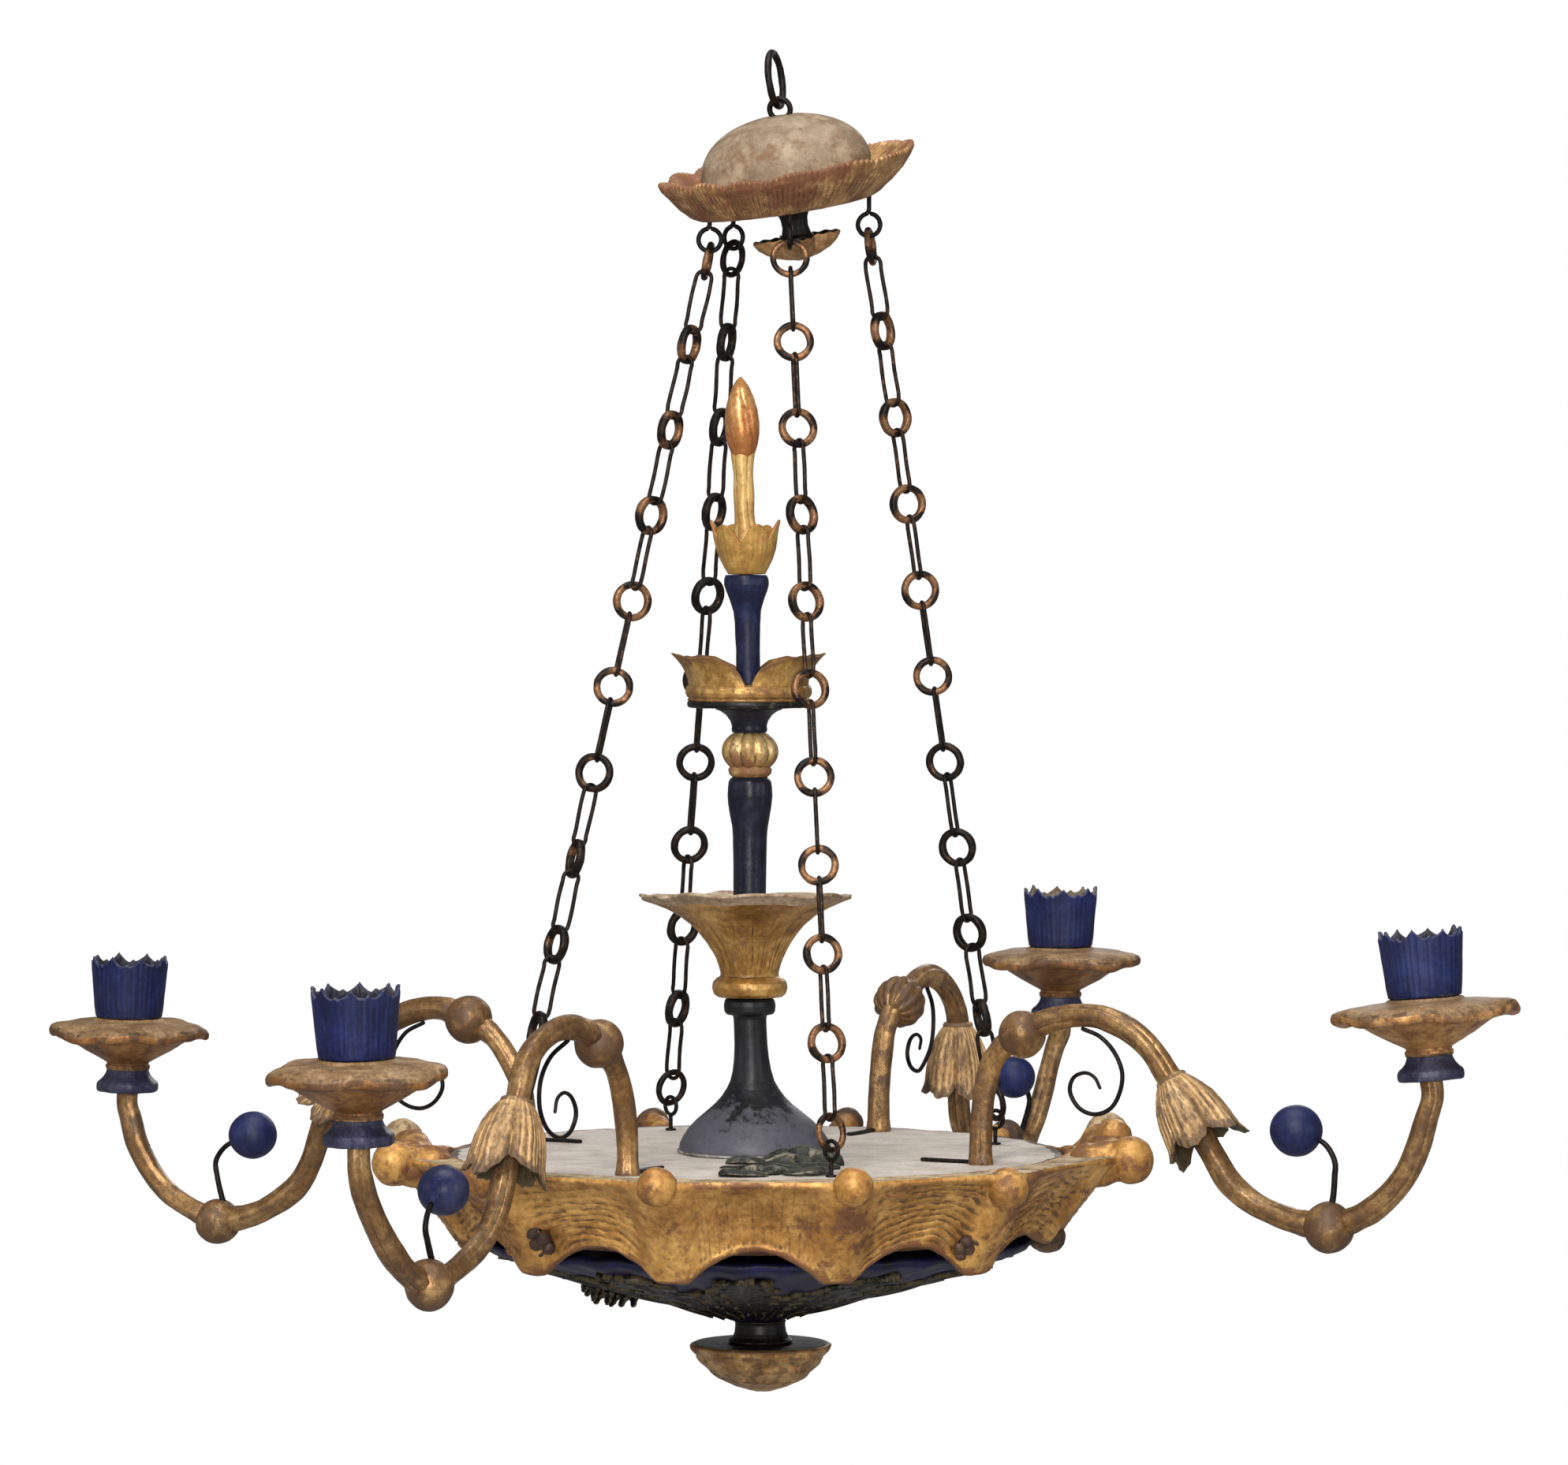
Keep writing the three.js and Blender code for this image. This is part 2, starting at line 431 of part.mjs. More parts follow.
// column, bottom to top: each turned piece stands on the one below, held by a dowel or tenon
piece('column_base', leaning(turned([[0, -908.5], [DOWEL_R, -908.5], [DOWEL_R, BOARD_TOP + GAP], [53, BOARD_TOP + GAP], [54, -775],
  [51.5, -768.5], [47.3, -761], [41, -754.8], [34.2, -749.2], [27.6, -743.6], [22.4, -738], [18.5, -732.4], [15.6, -726.8], [13.2, -717], [11.7, -700], [11.7, -680], [18, -678.4], [18.3, -673],
  [17, -667.5], [7, -667.5], [7, -655], [0, -655]], 16)), 'black', tray);
piece('flower_bowl', leaning(turned([[7 + GAP, -667.5 + GAP], [24, -667.2], [26.8, -660], [25.5, -653.5], [20.5, -651.5], [23, -640],
  [29, -629.5], [41, -616], [56, -606], [75, -597.5], [74, -594.8], [56, -601.5], [39, -611], [26, -625], [17, -640], [7 + GAP, -640]],
16, (r, z, a, j) => (j === 9 || j === 10 ? [r, z + 1.6 * Math.cos(8 * a)] : [r, z])), (z) => (z > -638 ? -0.066 * (z + 638) : 0)), 'gold', tray);
piece('column_shaft', leaning(turned([[0, -654.5], [7, -654.5], [7, -640 + GAP], [12, -640 + GAP], [11.6, -600], [11.8, -548], [12.9, -536], [15.7, -524],
  [14.4, -512], [9.5, -508], [17, -502], [19.6, -492.5], [17, -483], [11.5, -478], [14, -470], [23.8, -461.7], [6.2, -461.7],
  [6.2, -447], [0, -447]], 12)), 'blue', tray);
piece('leaf_plate', leaning(turned([[6.5, -461.4], [41, -461.4], [42, -455], [44.2, -453.5], [44.2, -446], [46.5, -443], [51, -433],
  [53.5, -423.5], [51, -424.5], [42, -439], [34, -445], [6.5, -445]], 16, (r, z, a, j) => {
  if (j < 6 || j > 8) return [r, z];
  // two broad leaves to the right and left, notched at the front and back
  const side = Math.abs(Math.cos(a - rad(FRONT)));
  return [44 + (r - 44) * side, -444 + (z + 444) * (side < 0.01 ? 0.15 : 0.7 + 0.3 * side)];
}, (i) => rad(FRONT + 22.5 * i))), 'gold', tray);
piece('upper_shaft', leaning(turned([[0, -446.6], [6.2, -446.6], [6.2, -445 + GAP], [8.8, -445 + GAP], [8.4, -432], [9.0, -397], [12.5, -384],
  [14.8, -374], [14.6, -367], [4, -367], [4, -358], [0, -358]], 12)), 'blue', tray);
piece('flame_bud', leaning(turned([[4.6, -367 + GAP], [12.5, -367 + GAP], [15, -360], [21, -347], [23, -333], [20, -330], [15, -343], [7.8, -346],
  [7.2, -300], [7.4, -281], [10.8, -268], [11.3, -254], [8.6, -240], [3, -228], [0, -226.5], [0, -357.5], [4.6, -357.5]], 10)), 'gold', tray);

ARMS.forEach((arm, i) => {
  const n = i + 1, A = new THREE.Group();
  A.rotation.z = i * Math.PI / 2;
  tray.add(A);
  const [h0, h1] = arm.husk.map(([r, z]) => new THREE.Vector3(r, 0, z));
  const along = h1.clone().sub(h0).normalize();
  const at = (t) => h0.clone().addScaledVector(along, t);

  // inner length: foot on the board, knop, arch, end inside the husk; an iron tang runs inward along the board
  const footR = arm.inner[0][0];
  const innerEnd = at(14), step = at(3);
  const innerPath = [...in3(arm.inner), [step.x, 0, step.z], [innerEnd.x, 0, innerEnd.z]];
  const tang = new THREE.BoxGeometry(46, 5, 1.8).translate(footR - 24, 0, BOARD_TOP + GAP + 0.9);
  piece(`arm_${n}_inner`, join(bar(innerPath, ARM_R, 6, 17), ball(arm.knop[2], arm.knop[0], 0, arm.knop[1]),
    rod(4, BOARD_TOP - 9, BOARD_TOP + 4, 8).translate(footR, 0, 0), tang), 'gilt', A);

  // husk: a carved bell of leaves threaded on the arm
  const husk = turned([[ARM_R + 1.4, 0], [10, 0], [13, 6], [18, 17], [22.6, 33], [HUSK_R, HUSK_LONG], [HUSK_R - 3, HUSK_LONG - 1],
    [18, 38], [12, 24], [ARM_R + 1.4, 20]], 12, (r, z, a, j) => (j === 5 || j === 6 ? [r * (0.92 + 0.08 * Math.cos(6 * a)), z - 5 + 5 * Math.cos(6 * a)] : [r, z]));
  const h = piece(`arm_${n}_husk`, husk, 'gilt', A);
  h.position.copy(h0);
  h.quaternion.setFromUnitVectors(new THREE.Vector3(0, 0, 1), along);

  // drip pan with its flared collar, and the crown-shaped candle cup, tilted together
  const seat = new THREE.Group();
  seat.position.set(arm.cup[0], 0, arm.cup[1]);
  seat.rotation.y = rad(arm.tilt);
  A.add(seat);
  const P = arm.pan;
  piece(`arm_${n}_drip_pan`, turned([[4.4, -56], [22.2, -56], [22.5, -49.5], [16.8, -41], [15, -36.5], [19, -35], [29.5, -27.5], [42, -18], [P - 10, -13], [P, -12.5],
    [P, -7], [P - 12, -2.7], [40, -0.8], [27, 0], [4.4, 0]], 15, (r, z, a, j) => (j >= 8 && j <= 10 ? [r, z + 1.5 * Math.cos(5 * a + i)] : [r, z])),
  'gilt', seat);
  piece(`arm_${n}_candle_cup`, turned([[0, -8], [4.1, -8], [4.1, GAP], [CUP_BASE_R, GAP], [27.2, 36], [CUP_TOP_R, CUP_H], [CUP_TOP_R - 2.4, CUP_H - 1],
    [24, 35], [21.2, CUP_FLOOR], [0, CUP_FLOOR]], 16, (r, z, a, j) => {
    if (j !== 5 && j !== 6) return [r, z];
    const low = Math.round(a / (2 * Math.PI) * 16) % 2;
    return [r - 0.5 * low, z - 9 * low];
  }), 'blue', seat);

  // outer length: out of the husk, down to the low knop and up to the collar, with a tenon in the pan's bore
  seat.updateMatrix();
  const seatPoint = (z) => { const v = new THREE.Vector3(0, 0, z).applyMatrix4(seat.matrix); return [v.x, v.y, v.z]; };
  const outerStart = at(16), outerNext = at(30);
  const outerPath = [[outerStart.x, 0, outerStart.z], [outerNext.x, 0, outerNext.z], ...in3(arm.outer), seatPoint(-66), seatPoint(-56 - GAP)];
  const tenon = rod(4, -58, -44, 8).applyMatrix4(seat.matrix);
  piece(`arm_${n}_outer`, join(bar(outerPath, ARM_R, 6, 16), ball(arm.lowKnop[2], arm.lowKnop[0], 0, arm.lowKnop[1]), tenon), 'gilt', A);

  // berry: a painted ball on a wire that stands on the low knop
  const u = rad(arm.wireFoot), [kx, kz, kr] = arm.lowKnop;
  const foot = (d) => [kx + (kr + d) * Math.cos(u), 0, kz + (kr + d) * Math.sin(u)];
  piece(`arm_${n}_berry`, join(ball(arm.berry[2], arm.berry[0], 0, arm.berry[1]),
    bar([...in3(arm.wire), foot(9), foot(0.6)], 2, 4, 7)), 'blue', A);

  // scroll: a curl of iron wire under the arch
  piece(`arm_${n}_scroll`, bar(in3(arm.scroll), 1.5, 4, 17), 'iron', A);
});

export default chandelier;
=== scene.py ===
# Looks for a carved, gilded and painted wooden chandelier with four candle arms.
# Lengths are written in millimetres and turned into metres when a mesh is made.
# The front frame is the object's frame turned by FRONT about Z: +X is the right hand seen from the front.

import math

import bpy
import bmesh
import numpy as np
from mathutils import Matrix, Vector


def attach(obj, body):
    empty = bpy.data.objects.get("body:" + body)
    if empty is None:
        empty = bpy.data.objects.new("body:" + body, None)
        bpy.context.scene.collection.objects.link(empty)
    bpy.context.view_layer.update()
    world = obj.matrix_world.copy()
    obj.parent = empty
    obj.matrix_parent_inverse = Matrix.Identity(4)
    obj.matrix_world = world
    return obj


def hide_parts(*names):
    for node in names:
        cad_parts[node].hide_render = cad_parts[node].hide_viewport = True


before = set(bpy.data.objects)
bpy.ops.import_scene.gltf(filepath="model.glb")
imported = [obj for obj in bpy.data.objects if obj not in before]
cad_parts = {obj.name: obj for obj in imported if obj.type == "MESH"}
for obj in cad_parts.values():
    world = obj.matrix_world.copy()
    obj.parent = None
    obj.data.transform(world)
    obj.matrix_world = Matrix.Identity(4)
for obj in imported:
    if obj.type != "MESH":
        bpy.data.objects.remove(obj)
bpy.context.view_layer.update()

# ------------------------------------------------------------------ sizes shared with the solid model
FRONT = math.radians(28.5)
GAP_MOVE, OVER = 0.8, 0.7
RING_R, RING_WIRE, RING_LEAN, RING_TURN = 19.0, 2.5, math.radians(-6.5), math.radians(104)
EYE_R, EYE_WIRE = 7.5, 2.0
CANOPY_AT, CANOPY_LEAN, CANOPY_NOD = (9.2, 0.0, -77.0), math.radians(-8.7), math.radians(8.5)
CANOPY_LOW, RIM_R, CANOPY_SKEW = -29.0, 90.0, 0.15
HOOK_R, HOOK_WIRE = 8.0, 1.5
HOOKS = [((68.4, 16, -126.3), -10), ((-28.3, 46, -133.8), -35), ((-44.5, -14, -138.4), -5), ((11.7, -50, -137.8), -90)]
LINK_RING_R, LINK_RING_WIRE, LINK_R, LINK_WIRE = 11.75, 2.25, 5.75, 1.5
EYELET_R, EYELET_WIRE, EYELET_Z = 6.5, 1.5, -753.5
EYELETS = [(182, 18.8), (182, 110.5), (177, 198), (182, 286.7)]
CARRIER = 1
CHAIN_TURNS = [
    [80, 60, 42, 28, 18, 0, -20, -25, -40, -75, -60],
    [55, 70, 65, 60, 40, 15, 5, 20, 40, 60, 40],
    [85, 65, 60, 45, 20, 0, -20, -72, -60, -70, -80],
    [0, 5, 20, 45, 35, 25, 5, -5, 20, 25, 45],
]
TRAY_X, BOARD_TOP, BOARD_T, BOARD_R = -12.0, -778.0, 12.0, 217.8
RIB_TURN = math.radians(13.5)
COLUMN_LINE = [(-960, 4.6), (-778, -0.6), (-680, -4.4), (-640, -4.6), (-500, -4.2), (-446, -5.3), (-366, -6.6), (-220, -11.1)]
ARM_R = 7.5
ARMS = [
    dict(inner=[(179, -777.4), (179, -760), (180, -740), (183, -722), (188, -706), (197, -694.5), (211, -685.5), (232, -675.5),
                (252, -671.5), (270, -671.5), (287, -677), (302, -686), (314, -698), (323, -711)],
         knop=(211, -686, 16.7), husk=((324, -711), (356, -762)),
         outer=[(356, -762), (369, -781.5), (386, -794.5), (406, -802.5), (426, -807), (443, -808.5), (466, -800.5), (485, -787),
                (499, -770.5), (508, -752), (514, -733)],
         low=(443, -809, 17.5), cup=(513, -650), tilt=-5.0, pan=64,
         berry=(419, -744, 18), wire=[(430, -747), (441, -753), (447.5, -764), (448, -776)], wire_foot=82,
         scroll=[(258, -680.6), (271, -685.5), (282, -696), (288, -710), (286, -724), (279, -735), (267, -739.5), (255, -735.5),
                 (248, -724), (251, -714.5), (260, -711), (267, -714), (271, -721)]),
    dict(inner=[(188.3, -777.4), (188.5, -755), (190.5, -738), (193, -724), (198, -706), (208, -693), (222, -685), (240, -675.5),
                (252, -670), (269, -668), (286, -672.5), (300, -681), (310, -691.5), (316, -703)],
         knop=(222, -685, 18.5), husk=((317, -706), (318, -766)),
         outer=[(318, -766), (323, -784), (338, -799), (362, -809), (390, -813), (416, -813), (436, -803), (450, -790),
                (461, -774), (472, -755), (484, -736)],
         low=(416, -813.5, 17.5), cup=(493.5, -659), tilt=0.0, pan=61.5,
         berry=(412, -755, 16.5), wire=[(422, -759), (433, -765), (439, -775), (436, -786)], wire_foot=60,
         scroll=[(266, -677.2), (274.5, -690), (276.5, -704), (273, -720), (264, -731), (252, -738.5), (239, -734), (234, -724),
                 (239, -714), (249, -711), (256, -715), (254, -722)]),
    dict(inner=[(190.7, -777.4), (191, -757), (194, -740), (203, -723), (218, -704), (239, -691.5), (262, -684.5), (282, -686.5),
                (300, -693), (316, -704), (328, -717)],
         knop=(239, -692, 17.5), husk=((329, -717), (362, -766)),
         outer=[(362, -766), (369, -785), (376, -803), (387, -820), (404, -833), (424, -843), (442, -848), (458, -850.5),
                (481, -843), (503, -831), (519, -815), (531, -795), (537, -775)],
         low=(458, -851, 17), cup=(538, -701), tilt=-1.5, pan=60,
         berry=(427, -785, 18), wire=[(440, -789), (452, -795), (460, -806), (460, -818)], wire_foot=110,
         scroll=[(278, -695.8), (293, -703.5), (303, -717), (308, -733), (303, -749), (292, -757), (279, -758.5), (268, -753),
                 (261.5, -742), (265, -731), (274, -727), (283, -731), (287, -739)]),
    dict(inner=[(183, -777.4), (183, -762), (185, -745), (189, -727), (196, -710), (206, -697), (222, -684.5), (248, -673.5),
                (271, -671), (292, -675), (310, -684), (322, -697), (329, -713)],
         knop=(222, -685, 17), husk=((330, -714), (349, -769)),
         outer=[(349, -769), (356, -785), (368, -800), (386, -811.5), (408, -820), (426, -825), (442, -826.5), (466, -818),
                (487, -802.5), (506, -782), (519, -763), (526, -745)],
         low=(442, -827, 17), cup=(529, -673), tilt=2.0, pan=58.5,
         berry=(424, -767, 17), wire=[(434, -771), (443, -779), (446.5, -790), (444, -800)], wire_foot=108,
         scroll=[(264, -680.2), (288, -690.5), (300, -705), (301, -723), (291, -738), (274, -745), (260, -741.5), (253, -730),
                 (259, -719), (269, -715), (278, -718.5), (281, -727)]),
]
HUSK_LONG = 57.0
KNOBS = [(3, 269, -778, 16.5), (2, 265, -772.5, 15.5), (0, 261, -784, 12.5), (0, 261, -781, 12.5), (2.5, 261, -781, 12.5), (0, 261, -784, 12.5),
         (-2, 268, -775, 14.0), (2.4, 265, -778, 16), (0, 263, -778, 14), (0.6, 263, -777, 13.5), (-0.3, 263, -777, 13.5), (-2, 253, -785, 14.5)]


# ------------------------------------------------------------------ matrices
def T(x, y, z):
    m = np.eye(4)
    m[:3, 3] = (x, y, z)
    return m


def R(axis, a):
    m = np.eye(4)
    c, s = math.cos(a), math.sin(a)
    i, j = {"x": (1, 2), "y": (2, 0), "z": (0, 1)}[axis]
    m[i, i] = m[j, j] = c
    m[i, j], m[j, i] = -s, s
    return m


def turn_to(d):
    """Rotation that takes +Z onto d by the shortest turn."""
    d = np.asarray(d, float) / np.linalg.norm(d)
    q = Vector((0, 0, 1)).rotation_difference(Vector(d))
    m = np.eye(4)
    m[:3, :3] = np.array(q.to_matrix())
    return m


def apply(m, v):
    v = np.asarray(v, float)
    return v @ m[:3, :3].T + m[:3, 3]


M_FRONT = R("z", FRONT)
M_TRAY = T(*apply(M_FRONT, (TRAY_X, 0, 0)))
M_RING = R("z", RING_TURN) @ R("x", RING_LEAN)
M_CANOPY = M_FRONT @ T(*CANOPY_AT) @ R("x", CANOPY_NOD) @ R("y", CANOPY_LEAN)


def aside(z):
    """Sideways place of the crooked column at height z."""
    z = np.asarray(z, float)
    h = [p[0] for p in COLUMN_LINE]
    return np.interp(z, h, [p[1] for p in COLUMN_LINE])


def leaning(part, extra=None):
    v = part["v"]
    d = aside(v[:, 2]) + (extra(v[:, 2]) if extra else 0)
    v[:, 0] += d * math.cos(FRONT)
    v[:, 1] += d * math.sin(FRONT)
    return part


# ------------------------------------------------------------------ noise, always the same
def _hash(i, j, k, seed):
    h = (i * 374761393 + j * 668265263 + k * 1440662683 + seed * 1274126177) & 0xFFFFFFFF
    h = ((h ^ (h >> 13)) * 1274126177) & 0xFFFFFFFF
    h = h ^ (h >> 16)
    return (h & 0xFFFFFF) / float(0xFFFFFF) * 2 - 1


def noise(p, size, seed=0):
    """Smooth noise from -1 to 1 over points p, with features of about that size in mm."""
    q = np.asarray(p, float) / size
    b = np.floor(q).astype(np.int64)
    f = q - b
    f = f * f * (3 - 2 * f)
    out = 0
    for dx in (0, 1):
        for dy in (0, 1):
            for dz in (0, 1):
                w = (f[..., 0] if dx else 1 - f[..., 0]) * (f[..., 1] if dy else 1 - f[..., 1]) * (f[..., 2] if dz else 1 - f[..., 2])
                out = out + w * _hash(b[..., 0] + dx, b[..., 1] + dy, b[..., 2] + dz, seed)
    return out


def fbm(p, size, seed=0, octaves=3):
    out, amp, total = 0, 1.0, 0.0
    for o in range(octaves):
        out = out + amp * noise(p, size / 2 ** o, seed + 17 * o)
        total += amp
        amp *= 0.5
    return out / total


# ------------------------------------------------------------------ shapes
def part(v, f, tone=0.0, mat=0):
    v = np.asarray(v, float).reshape(-1, 3)
    t = np.full(len(v), float(tone)) if np.isscalar(tone) else np.asarray(tone, float).reshape(-1)
    return {"v": v, "f": list(f), "t": t, "m": mat}


def moved(m, p):
    return {**p, "v": apply(m, p["v"])}


def grid(P, loop_i=False, loop_j=False, tone=0.0, mat=0):
    """Quads over an array of points P[i, j]."""
    ni, nj = P.shape[:2]
    i = np.arange(ni if loop_i else ni - 1)
    j = np.arange(nj if loop_j else nj - 1)
    a, b = np.meshgrid(i, j, indexing="ij")
    a, b = a.ravel(), b.ravel()
    a1, b1 = (a + 1) % ni, (b + 1) % nj
    f = np.stack([a * nj + b, a1 * nj + b, a1 * nj + b1, a * nj + b1], 1)
    if not np.isscalar(tone):
        tone = np.broadcast_to(tone, (ni, nj)).ravel()
    return part(P.reshape(-1, 3), f.tolist(), tone, mat)


def fine(profile, step=1.5, soft=0.7, closed=False):
    """A profile with softened corners and points about a step apart."""
    p = [np.array(q, float) for q in profile]
    out = []
    n = len(p)
    for k in range(n):
        prev, here, nxt = p[(k - 1) % n], p[k], p[(k + 1) % n]
        if not closed and k in (0, n - 1):
            out.append(here)
            continue
        a, b = prev - here, nxt - here
        la, lb = np.linalg.norm(a), np.linalg.norm(b)
        if la < 1e-6 or lb < 1e-6:
            out.append(here)
            continue
        s = min(soft, la * 0.45, lb * 0.45)
        a0, b0 = here + a / la * s, here + b / lb * s
        for t in (0, 0.33, 0.67, 1):
            out.append((1 - t) ** 2 * a0 + 2 * t * (1 - t) * here + t * t * b0)
    if closed:
        out.append(out[0])
    dense = [out[0]]
    for q in out[1:]:
        d = np.linalg.norm(q - dense[-1])
        k = max(1, int(round(d / step)))
        start = dense[-1]
        for t in range(1, k + 1):
            dense.append(start + (q - start) * t / k)
    if closed:
        dense = dense[:-1]
    return np.array(dense)


def smooth_curve(points, n, closed=False):
    """n points evenly spaced along a centripetal Catmull-Rom curve."""
    P = np.array([(p[0], 0.0, p[1]) if len(p) == 2 else p for p in points], float)
    if closed:
        Q = np.vstack([P[-1], P, P[:2]])
    else:
        Q = np.vstack([2 * P[0] - P[1], P, 2 * P[-1] - P[-2]])
    out = []
    for k in range(1, len(Q) - 2):
        p0, p1, p2, p3 = Q[k - 1], Q[k], Q[k + 1], Q[k + 2]
        d = [max(np.linalg.norm(b - a) ** 0.5, 1e-4) for a, b in ((p0, p1), (p1, p2), (p2, p3))]
        t1 = (p1 - p0) / d[0] - (p2 - p0) / (d[0] + d[1]) + (p2 - p1) / d[1]
        t2 = (p2 - p1) / d[1] - (p3 - p1) / (d[1] + d[2]) + (p3 - p2) / d[2]
        t1, t2 = t1 * d[1], t2 * d[1]
        for u in np.linspace(0, 1, 16, endpoint=False):
            h = np.array([2 * u ** 3 - 3 * u ** 2 + 1, u ** 3 - 2 * u ** 2 + u, -2 * u ** 3 + 3 * u ** 2, u ** 3 - u ** 2])
            out.append(h[0] * p1 + h[1] * t1 + h[2] * p2 + h[3] * t2)
    if not closed:
        out.append(P[-1])
    out = np.array(out)
    if closed:
        out = np.vstack([out, out[:1]])
    s = np.concatenate([[0], np.cumsum(np.linalg.norm(np.diff(out, axis=0), axis=1))])
    u = np.linspace(0, s[-1], n + 1)[:-1] if closed else np.linspace(0, s[-1], n)
    return np.stack([np.interp(u, s, out[:, k]) for k in range(3)], 1)


def frames(path, closed=False):
    """Tangent, normal and binormal along a path, carried without twist."""
    if closed:
        t = np.roll(path, -1, 0) - np.roll(path, 1, 0)
    else:
        t = np.gradient(path, axis=0)
    t /= np.maximum(np.linalg.norm(t, axis=1, keepdims=True), 1e-9)
    a = np.array([0, 1.0, 0]) if abs(t[0][1]) < 0.9 else np.array([1.0, 0, 0])
    n = np.zeros_like(path)
    n[0] = np.cross(a, t[0])
    n[0] /= np.linalg.norm(n[0])
    for k in range(1, len(path)):
        v = n[k - 1] - t[k] * np.dot(n[k - 1], t[k])
        n[k] = v / max(np.linalg.norm(v), 1e-9)
    return t, n, np.cross(t, n)


def sweep(path, radius, sides=20, section=None, closed=False, ends="round", tone=0.0, mat=0):
    """A bar along the path. radius is one number or one per point; section(angle, s) scales it."""
    path = np.asarray(path, float)
    r = np.full(len(path), float(radius)) if np.isscalar(radius) else np.asarray(radius, float)
    t, n, b = frames(path, closed)
    s = np.concatenate([[0], np.cumsum(np.linalg.norm(np.diff(path, axis=0), axis=1))])
    if not closed and ends:
        k = 4 if ends == "round" else 1
        head, tail = [], []
        for q in range(k):
            a = math.pi / 2 * (q / k)
            if ends == "round":
                off, sc = -math.cos(a), math.sin(a)
            else:
                off, sc = 0.0, 0.0
            head.append((path[0] + t[0] * r[0] * off, r[0] * sc))
            tail.append((path[-1] - t[-1] * r[-1] * off, r[-1] * sc))
        tail = tail[::-1]
        path = np.vstack([[h[0] for h in head], path, [h[0] for h in tail]])
        r = np.concatenate([[h[1] for h in head], r, [h[1] for h in tail]])
        t = np.vstack([[t[0]] * k, t, [t[-1]] * k])
        n = np.vstack([[n[0]] * k, n, [n[-1]] * k])
        b = np.vstack([[b[0]] * k, b, [b[-1]] * k])
        s = np.concatenate([[s[0]] * k, s, [s[-1]] * k])
    a = np.arange(sides) * 2 * math.pi / sides
    m = np.ones((len(path), sides)) if section is None else section(a[None, :], s[:, None]) * np.ones((len(path), sides))
    rr = (r[:, None] * m)[..., None]
    P = path[:, None] + rr * (np.cos(a)[None, :, None] * n[:, None] + np.sin(a)[None, :, None] * b[:, None])
    return grid(P, loop_i=closed, loop_j=True, tone=tone, mat=mat)


def turned(profile, segments=64, change=None, closed=False, tone=0.0, mat=0):
    """A turned shape. change(r, z, angle, k) gives new r and z, where k runs along the profile from 0 to 1."""
    profile = np.asarray(profile, float)
    a = np.arange(segments) * 2 * math.pi / segments
    A, K = np.meshgrid(a, np.linspace(0, 1, len(profile)), indexing="ij")
    r = np.broadcast_to(profile[:, 0], A.shape).copy()
    z = np.broadcast_to(profile[:, 1], A.shape).copy()
    if change:
        r, z = change(r, z, A, K)
        r = np.where(profile[:, 0] < 1e-6, 0, r)
    if callable(tone):
        tone = tone(r, z, A, K)
    P = np.stack([r * np.cos(A), r * np.sin(A), z], -1)
    return grid(P, loop_i=True, loop_j=closed, tone=tone, mat=mat)


def globe(r, centre=(0, 0, 0), seg=40, rows=24, flutes=0, depth=0.0, squash=1.0, seed=1, rough=0.02, axis=None, tone=0.0, mat=0):
    """A carved ball, slightly out of true, with melon flutes if asked."""
    th = np.linspace(0, math.pi, rows)
    ph = np.arange(seg) * 2 * math.pi / seg
    PH, TH = np.meshgrid(ph, th, indexing="ij")
    d = np.stack([np.sin(TH) * np.cos(PH), np.sin(TH) * np.sin(PH), np.cos(TH) * squash], -1)
    k = 1 + rough * fbm(d * r + 50 * seed, r * 0.9, seed, 3)
    if flutes:
        k = k * (1 + depth * (np.abs(np.cos(PH * flutes / 2)) ** 0.7 - 0.6) * np.sin(TH) ** 0.6)
    P = d * (r * k)[..., None]
    P[:, 0] = P[:, 0].mean(0)
    P[:, -1] = P[:, -1].mean(0)
    p = grid(P, loop_i=True, tone=tone, mat=mat)
    if axis is not None:
        p = moved(turn_to(axis), p)
    p["v"] = p["v"] + np.asarray(centre, float)
    return p


def rough_up(p, amount, size, seed=3, octaves=3):
    """Pushes the points of a part in and out along their normals by noise."""
    v = p["v"]
    n = normals(p)
    p["v"] = v + n * (amount * fbm(v, size, seed, octaves))[:, None]
    return p


def normals(p):
    v = p["v"]
    n = np.zeros_like(v)
    tri = [f for f in p["f"]]
    q = np.array([f if len(f) == 4 else [f[0], f[1], f[2], f[2]] for f in tri])
    fn = np.cross(v[q[:, 2]] - v[q[:, 0]], v[q[:, 3]] - v[q[:, 1]])
    for k in range(4):
        np.add.at(n, q[:, k], fn)
    return n / np.maximum(np.linalg.norm(n, axis=1, keepdims=True), 1e-12)


